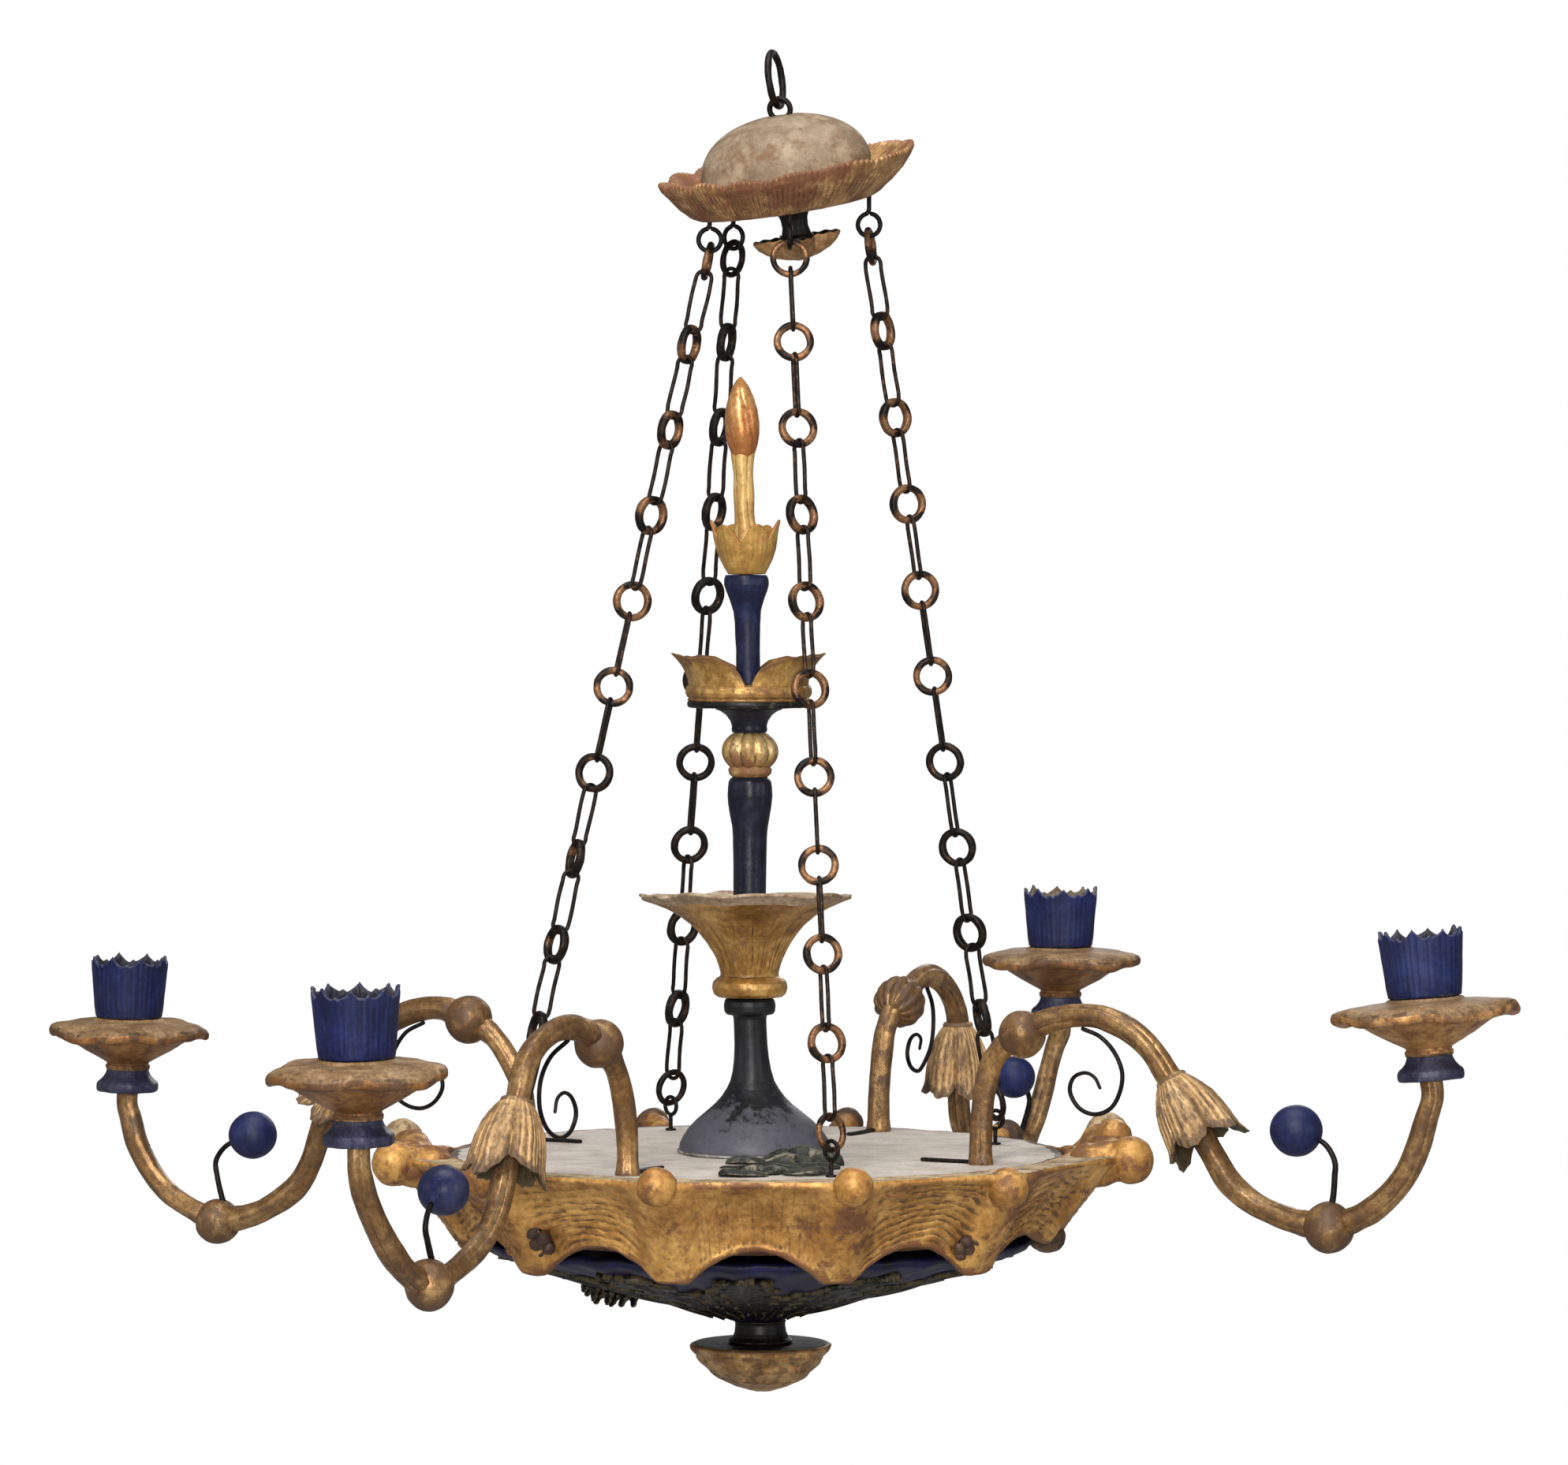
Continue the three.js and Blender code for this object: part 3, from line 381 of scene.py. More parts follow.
# ------------------------------------------------------------------ making objects
def make(name, parts, mats, body, replaces=(), smooth=True):
    vs, fs, ts, ms, base = [], [], [], [], 0
    for p in parts:
        vs.append(p["v"])
        ts.append(p["t"])
        fs += [[i + base for i in f] for f in p["f"]]
        ms += [p["m"]] * len(p["f"])
        base += len(p["v"])
    v = np.vstack(vs) * 0.001
    me = bpy.data.meshes.new(name)
    me.from_pydata(v.tolist(), [], fs)
    at = me.attributes.new("tone", "FLOAT", "POINT")
    at.data.foreach_set("value", np.concatenate(ts))
    me.polygons.foreach_set("material_index", ms)
    bm = bmesh.new()
    bm.from_mesh(me)
    bmesh.ops.remove_doubles(bm, verts=bm.verts, dist=2e-6)
    bmesh.ops.dissolve_degenerate(bm, edges=bm.edges, dist=1e-7)
    bmesh.ops.recalc_face_normals(bm, faces=bm.faces)
    bm.to_mesh(me)
    bm.free()
    for m in mats if isinstance(mats, (list, tuple)) else [mats]:
        me.materials.append(m)
    bend(me)
    me.polygons.foreach_set("use_smooth", [smooth] * len(me.polygons))
    me.update()
    o = bpy.data.objects.new(name, me)
    bpy.context.scene.collection.objects.link(o)
    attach(o, body)
    if replaces:
        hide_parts(*replaces)
    return o


def bend(me):
    """Stores how sharply the surface bends as a colour-like value: 0.5 flat, above on ridges, below in hollows."""
    n = len(me.vertices)
    co = np.empty(n * 3)
    me.vertices.foreach_get("co", co)
    co = co.reshape(-1, 3)
    e = np.empty(len(me.edges) * 2, dtype=np.int64)
    me.edges.foreach_get("vertices", e)
    e = e.reshape(-1, 2)
    no = np.empty(n * 3)
    me.vertex_normals.foreach_get("vector", no) if hasattr(me.vertex_normals, "foreach_get") else None
    no = no.reshape(-1, 3)
    deg = np.zeros(n)
    mean = np.zeros((n, 3))
    ln = np.zeros(n)
    d = co[e[:, 1]] - co[e[:, 0]]
    L = np.linalg.norm(d, axis=1)
    w = 1 / np.maximum(L, 1e-7)
    for a, b, s in ((0, 1, 1), (1, 0, -1)):
        np.add.at(deg, e[:, a], w)
        np.add.at(mean, e[:, a], d * (s * w)[:, None])
        np.add.at(ln, e[:, a], 1.0)
    mean /= np.maximum(deg, 1e-9)[:, None]
    c = -(mean * no).sum(1)
    size = ln / np.maximum(deg, 1e-9)
    c = c / np.maximum(size, 1e-7)
    for _ in range(2):
        acc = np.zeros(n)
        cnt = np.zeros(n)
        for a, b in ((0, 1), (1, 0)):
            np.add.at(acc, e[:, a], c[e[:, b]])
            np.add.at(cnt, e[:, a], 1.0)
        c = 0.5 * c + 0.5 * acc / np.maximum(cnt, 1)
    at = me.attributes.new("ridge", "FLOAT", "POINT")
    at.data.foreach_set("value", np.clip(0.5 + 2.2 * c, 0, 1))


# ------------------------------------------------------------------ material helper
class Nodes:
    def __init__(self, name):
        self.mat = bpy.data.materials.new(name)
        self.mat.use_nodes = True
        self.t = self.mat.node_tree
        self.t.nodes.clear()
        self.out = self.t.nodes.new("ShaderNodeOutputMaterial")
        self.bsdf = self.t.nodes.new("ShaderNodeBsdfPrincipled")
        self.t.links.new(self.bsdf.outputs[0], self.out.inputs[0])
        self.co = self.t.nodes.new("ShaderNodeTexCoord").outputs["Object"]

    def put(self, socket, value):
        if isinstance(value, bpy.types.NodeSocket):
            self.t.links.new(value, socket)
        elif isinstance(value, (tuple, list)):
            socket.default_value = (*value, 1.0) if len(value) == 3 and len(socket.default_value) == 4 else value
        else:
            socket.default_value = value

    def noise(self, scale, detail=3.0, rough=0.55, vec=None, distort=0.0):
        n = self.t.nodes.new("ShaderNodeTexNoise")
        self.put(n.inputs["Vector"], vec or self.co)
        n.inputs["Scale"].default_value = scale
        n.inputs["Detail"].default_value = detail
        n.inputs["Roughness"].default_value = rough
        n.inputs["Distortion"].default_value = distort
        return n.outputs["Fac"]

    def voronoi(self, scale, feature="F1", vec=None, randomness=1.0):
        n = self.t.nodes.new("ShaderNodeTexVoronoi")
        n.feature = feature
        self.put(n.inputs["Vector"], vec or self.co)
        n.inputs["Scale"].default_value = scale
        n.inputs["Randomness"].default_value = randomness
        return n.outputs["Distance"]

    def stretch(self, sx, sy, sz):
        n = self.t.nodes.new("ShaderNodeMapping")
        self.put(n.inputs["Vector"], self.co)
        n.inputs["Scale"].default_value = (sx, sy, sz)
        return n.outputs["Vector"]

    def attr(self, name):
        n = self.t.nodes.new("ShaderNodeAttribute")
        n.attribute_name = name
        return n.outputs["Fac"]

    def math(self, op, a, b=0.5, clamp=False):
        n = self.t.nodes.new("ShaderNodeMath")
        n.operation = op
        n.use_clamp = clamp
        self.put(n.inputs[0], a)
        self.put(n.inputs[1], b)
        return n.outputs[0]

    def step(self, value, lo, hi, to_lo=0.0, to_hi=1.0):
        n = self.t.nodes.new("ShaderNodeMapRange")
        n.interpolation_type = "SMOOTHSTEP"
        self.put(n.inputs["Value"], value)
        n.inputs["From Min"].default_value = lo
        n.inputs["From Max"].default_value = hi
        n.inputs["To Min"].default_value = to_lo
        n.inputs["To Max"].default_value = to_hi
        return n.outputs[0]

    def mix(self, fac, a, b, mode="MIX"):
        n = self.t.nodes.new("ShaderNodeMix")
        n.data_type = "RGBA"
        n.blend_type = mode
        self.put(n.inputs["Factor"], fac)
        self.put(n.inputs[6], a)
        self.put(n.inputs[7], b)
        return n.outputs[2]

    def blend(self, fac, a, b):
        n = self.t.nodes.new("ShaderNodeMix")
        n.data_type = "FLOAT"
        self.put(n.inputs["Factor"], fac)
        self.put(n.inputs[2], a)
        self.put(n.inputs[3], b)
        return n.outputs[0]

    def ramp(self, value, stops):
        n = self.t.nodes.new("ShaderNodeValToRGB")
        e = n.color_ramp.elements
        while len(e) < len(stops):
            e.new(0.5)
        for k, (p, c) in enumerate(stops):
            e[k].position = p
            e[k].color = (*c, 1.0)
        self.put(n.inputs[0], value)
        return n.outputs[0]

    def bump(self, height, strength, distance, normal=None):
        n = self.t.nodes.new("ShaderNodeBump")
        self.put(n.inputs["Height"], height)
        n.inputs["Strength"].default_value = strength
        n.inputs["Distance"].default_value = distance
        if normal is not None:
            self.put(n.inputs["Normal"], normal)
        return n.outputs[0]

    def done(self, color, rough, metal=0.0, normal=None, spec=None, coat=None):
        self.put(self.bsdf.inputs["Base Color"], color)
        self.put(self.bsdf.inputs["Roughness"], rough)
        self.put(self.bsdf.inputs["Metallic"], metal)
        if normal is not None:
            self.put(self.bsdf.inputs["Normal"], normal)
        if spec is not None:
            self.bsdf.inputs["Specular IOR Level"].default_value = spec
        if coat is not None:
            self.bsdf.inputs["Coat Weight"].default_value = coat
            self.bsdf.inputs["Coat Roughness"].default_value = 0.3
        return self.mat


def srgb(r, g, b):
    def f(c):
        c /= 255
        return c / 12.92 if c <= 0.04045 else ((c + 0.055) / 1.055) ** 2.4
    return (f(r), f(g), f(b))


def gilding(name, dark, mid, bright, bole, loss=0.5, metal=0.65, rough=0.42, grain=0.0, seed=0.0):
    """Old gold leaf: uneven tone, rubbed through to bole and wood on ridges, grime and painted shade in hollows."""
    n = Nodes(name)
    ridge = n.attr("ridge")
    tone = n.attr("tone")
    big = n.noise(28 + seed, 4, 0.6)
    fine_ = n.noise(210, 4, 0.65)
    grainy = n.noise(900, 2, 0.6)
    lum = n.math("ADD", n.math("MULTIPLY", big, 0.62), n.math("MULTIPLY", fine_, 0.38))
    gold = n.ramp(lum, [(0.30, dark), (0.48, mid), (0.68, bright)])
    # rubbed places
    worn = n.math("ADD", n.math("MULTIPLY", n.noise(60 + seed, 5, 0.68), 0.72), n.math("MULTIPLY", ridge, 0.34))
    worn = n.math("ADD", worn, n.math("MULTIPLY", tone, 0.22))
    lost = n.step(worn, 0.60 - 0.10 * loss + 0.02, 0.74 - 0.06 * loss)
    bare = n.mix(n.noise(140, 3, 0.6), bole, tuple(c * 1.7 + 0.003 for c in bole))
    col = n.mix(n.math("MULTIPLY", lost, 0.85), gold, bare)
    # grime and painted shade in the hollows, and dark specks over everything a little
    low = n.step(ridge, 0.50, 0.34)
    grime_and_shade = n.math("MULTIPLY", low, n.step(n.noise(120, 3, 0.6), 0.30, 0.62), clamp=True)
    col = n.mix(n.math("MULTIPLY", grime_and_shade, 0.78), col, srgb(44, 30, 22))
    specks = n.step(n.noise(480, 3, 0.7), 0.60, 0.70)
    col = n.mix(n.math("MULTIPLY", specks, 0.42), col, srgb(70, 46, 30))
    m = n.blend(n.math("ADD", n.math("MULTIPLY", lost, 0.9), n.math("MULTIPLY", grime_and_shade, 0.6), clamp=True), metal, 0.0)
    r = n.math("ADD", n.math("MULTIPLY", fine_, 0.22), n.math("MULTIPLY", lost, 0.22))
    r = n.math("ADD", r, rough - 0.11, clamp=True)
    h = n.math("ADD", n.math("MULTIPLY", fine_, 0.6), n.math("MULTIPLY", grainy, 0.25))
    h = n.math("SUBTRACT", h, n.math("MULTIPLY", lost, 0.35))
    return n.done(col, r, m, n.bump(h, 0.55, 0.0009))


def paint(name, dark, mid, bright, under, loss=0.3, rough=0.62, dust=(0.3, 0.3, 0.34), dusty=0.25, seed=0.0):
    """Old matte paint: brushed unevenly, rubbed at the edges, with a little dust."""
    n = Nodes(name)
    ridge, tone = n.attr("ridge"), n.attr("tone")
    big = n.noise(34 + seed, 4, 0.6)
    brush = n.noise(60, 3, 0.6, vec=n.stretch(6, 6, 1))
    fine_ = n.noise(320, 4, 0.65)
    lum = n.math("ADD", n.math("MULTIPLY", big, 0.5), n.math("ADD", n.math("MULTIPLY", brush, 0.3), n.math("MULTIPLY", fine_, 0.2)))
    col = n.ramp(lum, [(0.34, dark), (0.50, mid), (0.66, bright)])
    worn = n.math("ADD", n.math("MULTIPLY", n.noise(90 + seed, 5, 0.7), 0.62), n.math("MULTIPLY", ridge, 0.46))
    worn = n.math("ADD", worn, n.math("MULTIPLY", tone, 0.30))
    lost = n.step(worn, 0.72 - 0.14 * loss, 0.82 - 0.12 * loss)
    col = n.mix(n.math("MULTIPLY", lost, 0.85), col, n.mix(n.noise(200, 3, 0.6), under, tuple(min(1, c * 1.7) for c in under)))
    film = n.step(n.noise(20 + seed, 3, 0.6), 0.42, 0.70)
    col = n.mix(n.math("MULTIPLY", film, dusty), col, dust)
    r = n.math("ADD", n.math("MULTIPLY", fine_, 0.2), rough - 0.1, clamp=True)
    h = n.math("ADD", n.math("MULTIPLY", brush, 0.4), n.math("MULTIPLY", fine_, 0.5))
    h = n.math("SUBTRACT", h, n.math("MULTIPLY", lost, 0.5))
    return n.done(col, r, 0.0, n.bump(h, 0.5, 0.0007), spec=0.28)


def iron(name, dark, bright, gilt, amount=0.0, rough=0.5):
    """Forged iron with rust-brown bloom, traces of gilding where the tone is high (on the chain rings partly painted
    sheen), grime and painted shade in the hollows.
    """
    n = Nodes(name)
    ridge, tone = n.attr("ridge"), n.attr("tone")
    a = n.noise(180, 4, 0.65)
    b = n.noise(600, 3, 0.6)
    col = n.mix(n.step(a, 0.38, 0.66), dark, bright)
    g = n.math("ADD", n.math("MULTIPLY", tone, 0.75), n.math("MULTIPLY", n.noise(240, 4, 0.7), 0.5))
    g = n.step(n.math("ADD", g, n.math("MULTIPLY", ridge, 0.16)), 0.66 - amount * 0.2, 0.86 - amount * 0.2)
    col = n.mix(g, col, n.mix(n.step(b, 0.35, 0.65), gilt, tuple(c * 0.5 for c in gilt)))
    # grime and painted shade: darker where the surface bends inward
    low = n.step(ridge, 0.48, 0.30)
    col = n.mix(n.math("MULTIPLY", low, 0.5), col, srgb(18, 15, 14))
    m = n.blend(g, 0.75, 0.7)
    r = n.math("ADD", n.math("MULTIPLY", b, 0.25), rough - 0.12, clamp=True)
    return n.done(col, r, m, n.bump(n.math("ADD", n.math("MULTIPLY", a, 0.5), n.math("MULTIPLY", b, 0.5)), 0.5, 0.0005))


GILT = gilding("old_gilding", srgb(75, 52, 28), srgb(130, 96, 57), srgb(190, 152, 99), srgb(62, 40, 22), loss=0.55, metal=0.55, rough=0.36)
HUSK = gilding("husk_gilding", srgb(118, 88, 54), srgb(176, 139, 92), srgb(216, 182, 132), srgb(66, 46, 30), loss=0.5, metal=0.35, rough=0.5, seed=2)
PAN = gilding("pan_gilding", srgb(80, 50, 25), srgb(136, 91, 46), srgb(184, 134, 76), srgb(58, 34, 18), loss=0.6, metal=0.45, rough=0.45, seed=6)
# a brighter copy of the pan gilding for the first arm's pan: painted light
PAN_LIT = gilding("pan_gilding_painted_light", srgb(104, 70, 36), srgb(176, 126, 72), srgb(226, 178, 114), srgb(70, 42, 24), loss=0.5, metal=0.45, rough=0.45, seed=30)
PAN_TOP = paint("pan_top", srgb(74, 54, 34), srgb(124, 96, 64), srgb(172, 144, 106), srgb(50, 33, 20), loss=0.6, rough=0.6, dust=srgb(112, 98, 78), dusty=0.25, seed=19)
GILT_RICH = gilding("apron_gilding", srgb(106, 70, 30), srgb(176, 126, 62), srgb(232, 184, 106), srgb(84, 48, 26), loss=0.42, metal=0.42, rough=0.47, seed=3)
FIN_GILT = gilding("finial_gilding", srgb(92, 64, 32), srgb(158, 118, 66), srgb(222, 180, 116), srgb(72, 46, 24), loss=0.5, metal=0.5, rough=0.40, seed=27)
GOLD = gilding("bright_gilding", srgb(104, 72, 32), srgb(166, 124, 64), srgb(226, 186, 116), srgb(84, 54, 26), loss=0.35, metal=0.6, rough=0.38, seed=5)
FLAME = gilding("flame_gilding", srgb(138, 76, 34), srgb(178, 114, 60), srgb(218, 170, 110), srgb(120, 66, 36), loss=0.2, metal=0.45, rough=0.30, seed=7)
PALE = gilding("pale_gilding", srgb(150, 112, 56), srgb(198, 160, 94), srgb(232, 204, 136), srgb(136, 88, 46), loss=0.35, metal=0.3, seed=9)
TULIP = gilding("tulip_gilding", srgb(124, 92, 40), srgb(180, 138, 68), srgb(220, 180, 104), srgb(134, 78, 40), loss=0.35, metal=0.4, seed=15)
RIM = gilding("rim_gilding", srgb(88, 60, 34), srgb(152, 112, 68), srgb(212, 170, 116), srgb(90, 48, 28), loss=0.5, metal=0.35, rough=0.5, seed=11)
UMBER = gilding("rubbed_dark_gilding", srgb(44, 30, 22), srgb(86, 62, 42), srgb(132, 98, 64), srgb(40, 26, 22), loss=0.5, metal=0.4, rough=0.42, seed=20)
CHALK = gilding("rubbed_edge", srgb(112, 94, 66), srgb(168, 144, 106), srgb(206, 184, 146), srgb(80, 60, 38), loss=0.6, metal=0.1, rough=0.65, seed=21)
WORN_SLATE = paint("worn_slate_edge", srgb(78, 76, 76), srgb(124, 121, 118), srgb(176, 172, 166), srgb(60, 54, 48), loss=0.35, rough=0.6, dust=srgb(150, 146, 140), dusty=0.3, seed=24)
LIP = paint("flower_lip", srgb(104, 84, 62), srgb(164, 142, 116), srgb(216, 200, 178), srgb(96, 66, 42), loss=0.5, rough=0.6, dust=srgb(186, 168, 144), dusty=0.3, seed=25)
LEAFY = paint("dark_leaf_paint", srgb(12, 15, 12), srgb(38, 42, 36), srgb(78, 78, 68), srgb(112, 104, 88), loss=0.15, rough=0.5, dust=srgb(66, 66, 58), dusty=0.15, seed=26)
MELON = gilding("ribbed_knop_gilding", srgb(114, 88, 46), srgb(188, 154, 94), srgb(244, 216, 162), srgb(98, 58, 34), loss=0.3, metal=0.5, rough=0.34, seed=23)
BLUE = paint("blue_paint", srgb(8, 12, 34), srgb(17, 25, 67), srgb(34, 44, 98), srgb(58, 60, 78), loss=0.10, rough=0.5, dust=srgb(56, 62, 90), dusty=0.16)
UPPER_BLUE = paint("upper_shaft_paint", srgb(8, 10, 24), srgb(17, 22, 50), srgb(34, 42, 78), srgb(60, 60, 72), loss=0.10, rough=0.45, dust=srgb(50, 56, 80), dusty=0.18, seed=28)
BERRY = paint("berry_paint", srgb(10, 13, 36), srgb(24, 30, 70), srgb(48, 54, 102), srgb(96, 88, 96), loss=0.25, rough=0.42, dust=srgb(86, 84, 104), dusty=0.3, seed=29)
NAVY = paint("navy_paint", srgb(8, 8, 22), srgb(18, 18, 56), srgb(30, 30, 84), srgb(20, 18, 22), loss=0.35, rough=0.5, dust=srgb(14, 14, 20), dusty=0.6, seed=12)
DARK_BLUE = paint("collar_paint", srgb(18, 18, 30), srgb(42, 42, 66), srgb(78, 74, 98), srgb(58, 66, 72), loss=0.4, rough=0.42, dust=srgb(60, 64, 76), dusty=0.5, seed=14)
SLATE = paint("slate_paint", srgb(13, 13, 15), srgb(23, 24, 26), srgb(42, 43, 47), srgb(70, 70, 78), loss=0.08, rough=0.42, dust=srgb(42, 44, 50), dusty=0.2, seed=4)
SHAFT = paint("shaft_paint", srgb(8, 9, 16), srgb(19, 21, 36), srgb(38, 41, 62), srgb(90, 86, 86), loss=0.08, rough=0.36, dust=srgb(40, 42, 56), dusty=0.25, seed=16)
LEAD = paint("dark_leaf_paint", srgb(5, 5, 6), srgb(12, 11, 11), srgb(32, 28, 23), srgb(78, 66, 42), loss=0.06, rough=0.42, dust=srgb(28, 27, 28), dusty=0.15, seed=6)
PEWTER = paint("grey_leaf_paint", srgb(10, 12, 11), srgb(32, 34, 31), srgb(74, 72, 64), srgb(128, 118, 102), loss=0.3, rough=0.5, dust=srgb(70, 67, 62), dusty=0.2, seed=22)
# inside the candle cups: a darker, greyer copy of their blue, painted shade in the hollow
SHADED_CUP_LINING = paint("dark_cup_lining", srgb(9, 9, 18), srgb(20, 20, 38), srgb(38, 38, 56), srgb(50, 48, 54), loss=0.05, rough=0.75, dust=srgb(40, 40, 50), dusty=0.2, seed=18)
GESSO = gilding("worn_gesso", srgb(90, 75, 58), srgb(130, 111, 88), srgb(164, 147, 122), srgb(94, 70, 48), loss=0.25, metal=0.0, rough=0.7, seed=13)
WORN = paint("worn_chalk_ground", srgb(96, 84, 68), srgb(142, 128, 108), srgb(184, 172, 152), srgb(70, 54, 42), loss=0.5, rough=0.8, dust=srgb(134, 128, 118), dusty=0.25, seed=17)
BONE = paint("bare_chalk", srgb(96, 84, 72), srgb(138, 124, 108), srgb(178, 166, 150), srgb(70, 56, 44), loss=0.4, rough=0.85, dust=srgb(126, 120, 112), dusty=0.2, seed=2)
BOARD = paint("grey_board", srgb(156, 146, 134), srgb(184, 175, 165), srgb(206, 199, 190), srgb(44, 34, 26), loss=0.1, rough=0.85, dust=srgb(188, 183, 177), dusty=0.4, seed=8)
IRON = iron("black_iron", srgb(18, 16, 17), srgb(40, 33, 31), srgb(96, 74, 56))
CHAIN = iron("chain_iron", srgb(20, 17, 16), srgb(50, 38, 30), srgb(150, 108, 74), amount=0.05)


# ------------------------------------------------------------------ suspension ring and eye bolt
def torus(R0, r0, seg=96, sides=20, section=None, tone=0.0, arc=1.0, start=0.0, ax=1.0):
    a = start + np.arange(seg) * 2 * math.pi / seg
    b = np.arange(sides) * 2 * math.pi / sides
    A, B = np.meshgrid(a, b, indexing="ij")
    k = 1 if section is None else section(A, B)
    P = np.stack([(R0 + r0 * k * np.cos(B)) * np.cos(A), r0 * ax * k * np.sin(B), (R0 + r0 * k * np.cos(B)) * np.sin(A)], -1)
    return grid(P, True, True, tone=tone)


ring = torus(RING_R, RING_WIRE, 120, 20, lambda a, b: 1 + 0.04 * np.sin(5 * a + 1) + 0.02 * np.cos(3 * b + 7 * a))
ring = moved(M_RING @ T(0, 0, RING_WIRE - RING_R), rough_up(ring, 0.22, 5, 11))
make("suspension_ring_look", [ring], IRON, "ring", ["suspension_ring"])

ring_foot = apply(M_RING, (0, 0, RING_WIRE - 2 * RING_R))
eye_top = apply(np.linalg.inv(M_CANOPY), ring_foot + np.array([0, 0, RING_WIRE + EYE_WIRE + GAP_MOVE]))
eye_z = eye_top[2] - EYE_R
M_EYE = M_CANOPY @ T(eye_top[0], eye_top[1], eye_z)
loop = moved(R("z", RING_TURN - math.pi / 2 - FRONT), torus(EYE_R, EYE_WIRE, 64, 16))
shank = sweep([(0, 0, z) for z in np.linspace(-EYE_R, CANOPY_LOW - 12 - eye_z, 24)], 2.4, 16)
make("eye_bolt_look", [moved(M_EYE, rough_up(loop, 0.15, 4, 5)), moved(M_EYE, shank)], IRON, "canopy", ["eye_bolt"])


# ------------------------------------------------------------------ canopy
def skew(p):
    v = p["v"]
    v[:, 0] += np.where(v[:, 2] < 0, CANOPY_SKEW * v[:, 2], 0)
    return p


dome_profile = fine([(0, CANOPY_LOW + 0.2), (60.5, CANOPY_LOW + 0.2), (60.8, -12), (61.2, -3), (60.2, 4.5), (57.2, 11.6), (52.4, 18), (46, 23.6),
                     (38, 28.4), (28, 32.2), (16, 35.0), (6, 36.2), (0, 36.5)], 1.6, 3.0)
dome = turned(dome_profile, 128)
v = dome["v"]
d = np.hypot(v[:, 0] - eye_top[0], v[:, 1] - eye_top[1])
sink = np.clip((11.5 - d) / 2.5, 0, 1)
sink = sink * sink * (3 - 2 * sink)
floor_z = eye_z - EYE_R - EYE_WIRE - 0.4
v[:, 2] = np.where((v[:, 2] > 20) & (sink > 0), v[:, 2] * (1 - sink) + min(floor_z, 34) * sink, v[:, 2])
dome["t"] = np.clip(0.25 + 0.5 * fbm(v, 30, 9), 0, 1)
make("canopy_dome_look", [moved(M_CANOPY, skew(rough_up(dome, 0.55, 22, 21)))], GESSO, "canopy", ["canopy_dome"])

LOBES = 15


def rim_shape(r, z, a, k):
    u = a * LOBES / (2 * math.pi) + 0.15 * np.sin(3 * a)
    ph = u % 1.0
    scallop = np.sin(math.pi * ph) ** 0.55
    left = 0.5 - 0.5 * np.cos(a)                         # broad lobes on the left and at the front, a fine comb on the right
    top = np.clip((k - 0.10) / 0.38, 0, 1) * np.clip((0.97 - k) / 0.25, 0, 1)
    groove = np.abs(np.sin(math.pi * u * 9)) ** 0.7 - 0.6
    outer = np.clip(k / 0.06, 0, 1) * np.clip((0.62 - k) / 0.06, 0, 1)
    rr = r + (scallop - 0.7) * (1.2 + 2.6 * left) * top + outer * (1.5 * groove * (0.5 + 0.5 * top) + (0.6 + 2.2 * left) * (scallop - 0.8) * np.clip(k / 0.3, 0, 1))
    edge = np.clip((k - 0.36) / 0.12, 0, 1) * np.clip((0.72 - k) / 0.12, 0, 1)
    zz = z + edge * ((1.4 + 4.6 * left) * (scallop - 0.75) + (2.6 - 1.6 * left) * groove + 0.8 * np.sin(5 * a + 1.3))
    low_edge = edge * (0.8 + 1.6 * left)                  # the comb on the right stands farther out and lower
    return rr + 2.4 * (1 - left) * np.clip((k - 0.15) / 0.2, 0, 1), zz - low_edge


rim_profile = fine([(61.2, -28.6), (63.6, -28.9), (68.4, -26.4), (74.8, -20.5), (81.3, -12.6), (87, -4.6), (89.6, 0.6), (88.6, 2.6), (84.5, 1.2),
                    (77, -5), (69, -11.4), (62, -12.8), (61.4, -14)], 0.9, 0.8)
rim = turned(rim_profile, 768, rim_shape)
rim["t"] = np.clip(0.30 + 0.9 * fbm(rim["v"], 30, 4) + 0.2 * (rim["v"][:, 0] < 10), 0, 1)
make("canopy_rim_look", [moved(M_CANOPY, skew(rough_up(rim, 0.25, 6, 8)))], RIM, "canopy", ["canopy_rim"])


# pendant: dark spool, four pointed leaves and a bud
def leafy(n, phase=0.0, deep=0.45, power=1.2):
    def f(a):
        u = np.abs(np.cos(n * (a - phase) / 2))
        return 1 - deep + deep * u ** power
    return f


pend = fine([(0, CANOPY_LOW + 0.3), (13.5, CANOPY_LOW + 0.3), (11.6, -33), (9.6, -38), (9.2, -44), (10.5, -49.5), (12.5, -51.5), (0, -51.6)], 1.0, 0.8)
neck = turned(pend, 96, lambda r, z, a, k: (r * (1 + 0.07 * (np.abs(np.sin(6 * a)) ** 0.6 - 0.6) * (r > 6)), z), tone=0.1, mat=1)
leaf_f = leafy(4, 0.12, 0.52, 1.5)


def calyx_shape(r, z, a, k):
    g = leaf_f(a)
    w = np.clip(r / 31.5, 0, 1)
    rr = r * (1 - w + w * g) + 0.0
    rib = 0.7 * np.cos(24 * a) * w
    return rr, z + rib * 0.6 + 3.0 * (g - 1) * w * (1 - w) * 0


calyx = turned(fine([(0, -67.4), (8, -66.8), (16, -64.6), (23, -61.2), (28.4, -56.8), (31.4, -52.6), (31.6, -51.4), (30, -50.8)], 0.8, 1.0), 240, calyx_shape)
calyx_top = turned(fine([(0, -53.6), (12, -53.4), (22, -52.4), (29.9, -50.85)], 0.8, 1.0), 240, calyx_shape, mat=1)
bud = globe(8.2, (0, 0, -62.0), 36, 20, flutes=4, depth=0.14, squash=0.75, seed=4, tone=0.8)
make("canopy_pendant_look", [moved(M_CANOPY, p) for p in (neck, rough_up(calyx, 0.35, 5, 2), calyx_top, bud)], [RIM, LEAD], "canopy", ["canopy_pendant"])

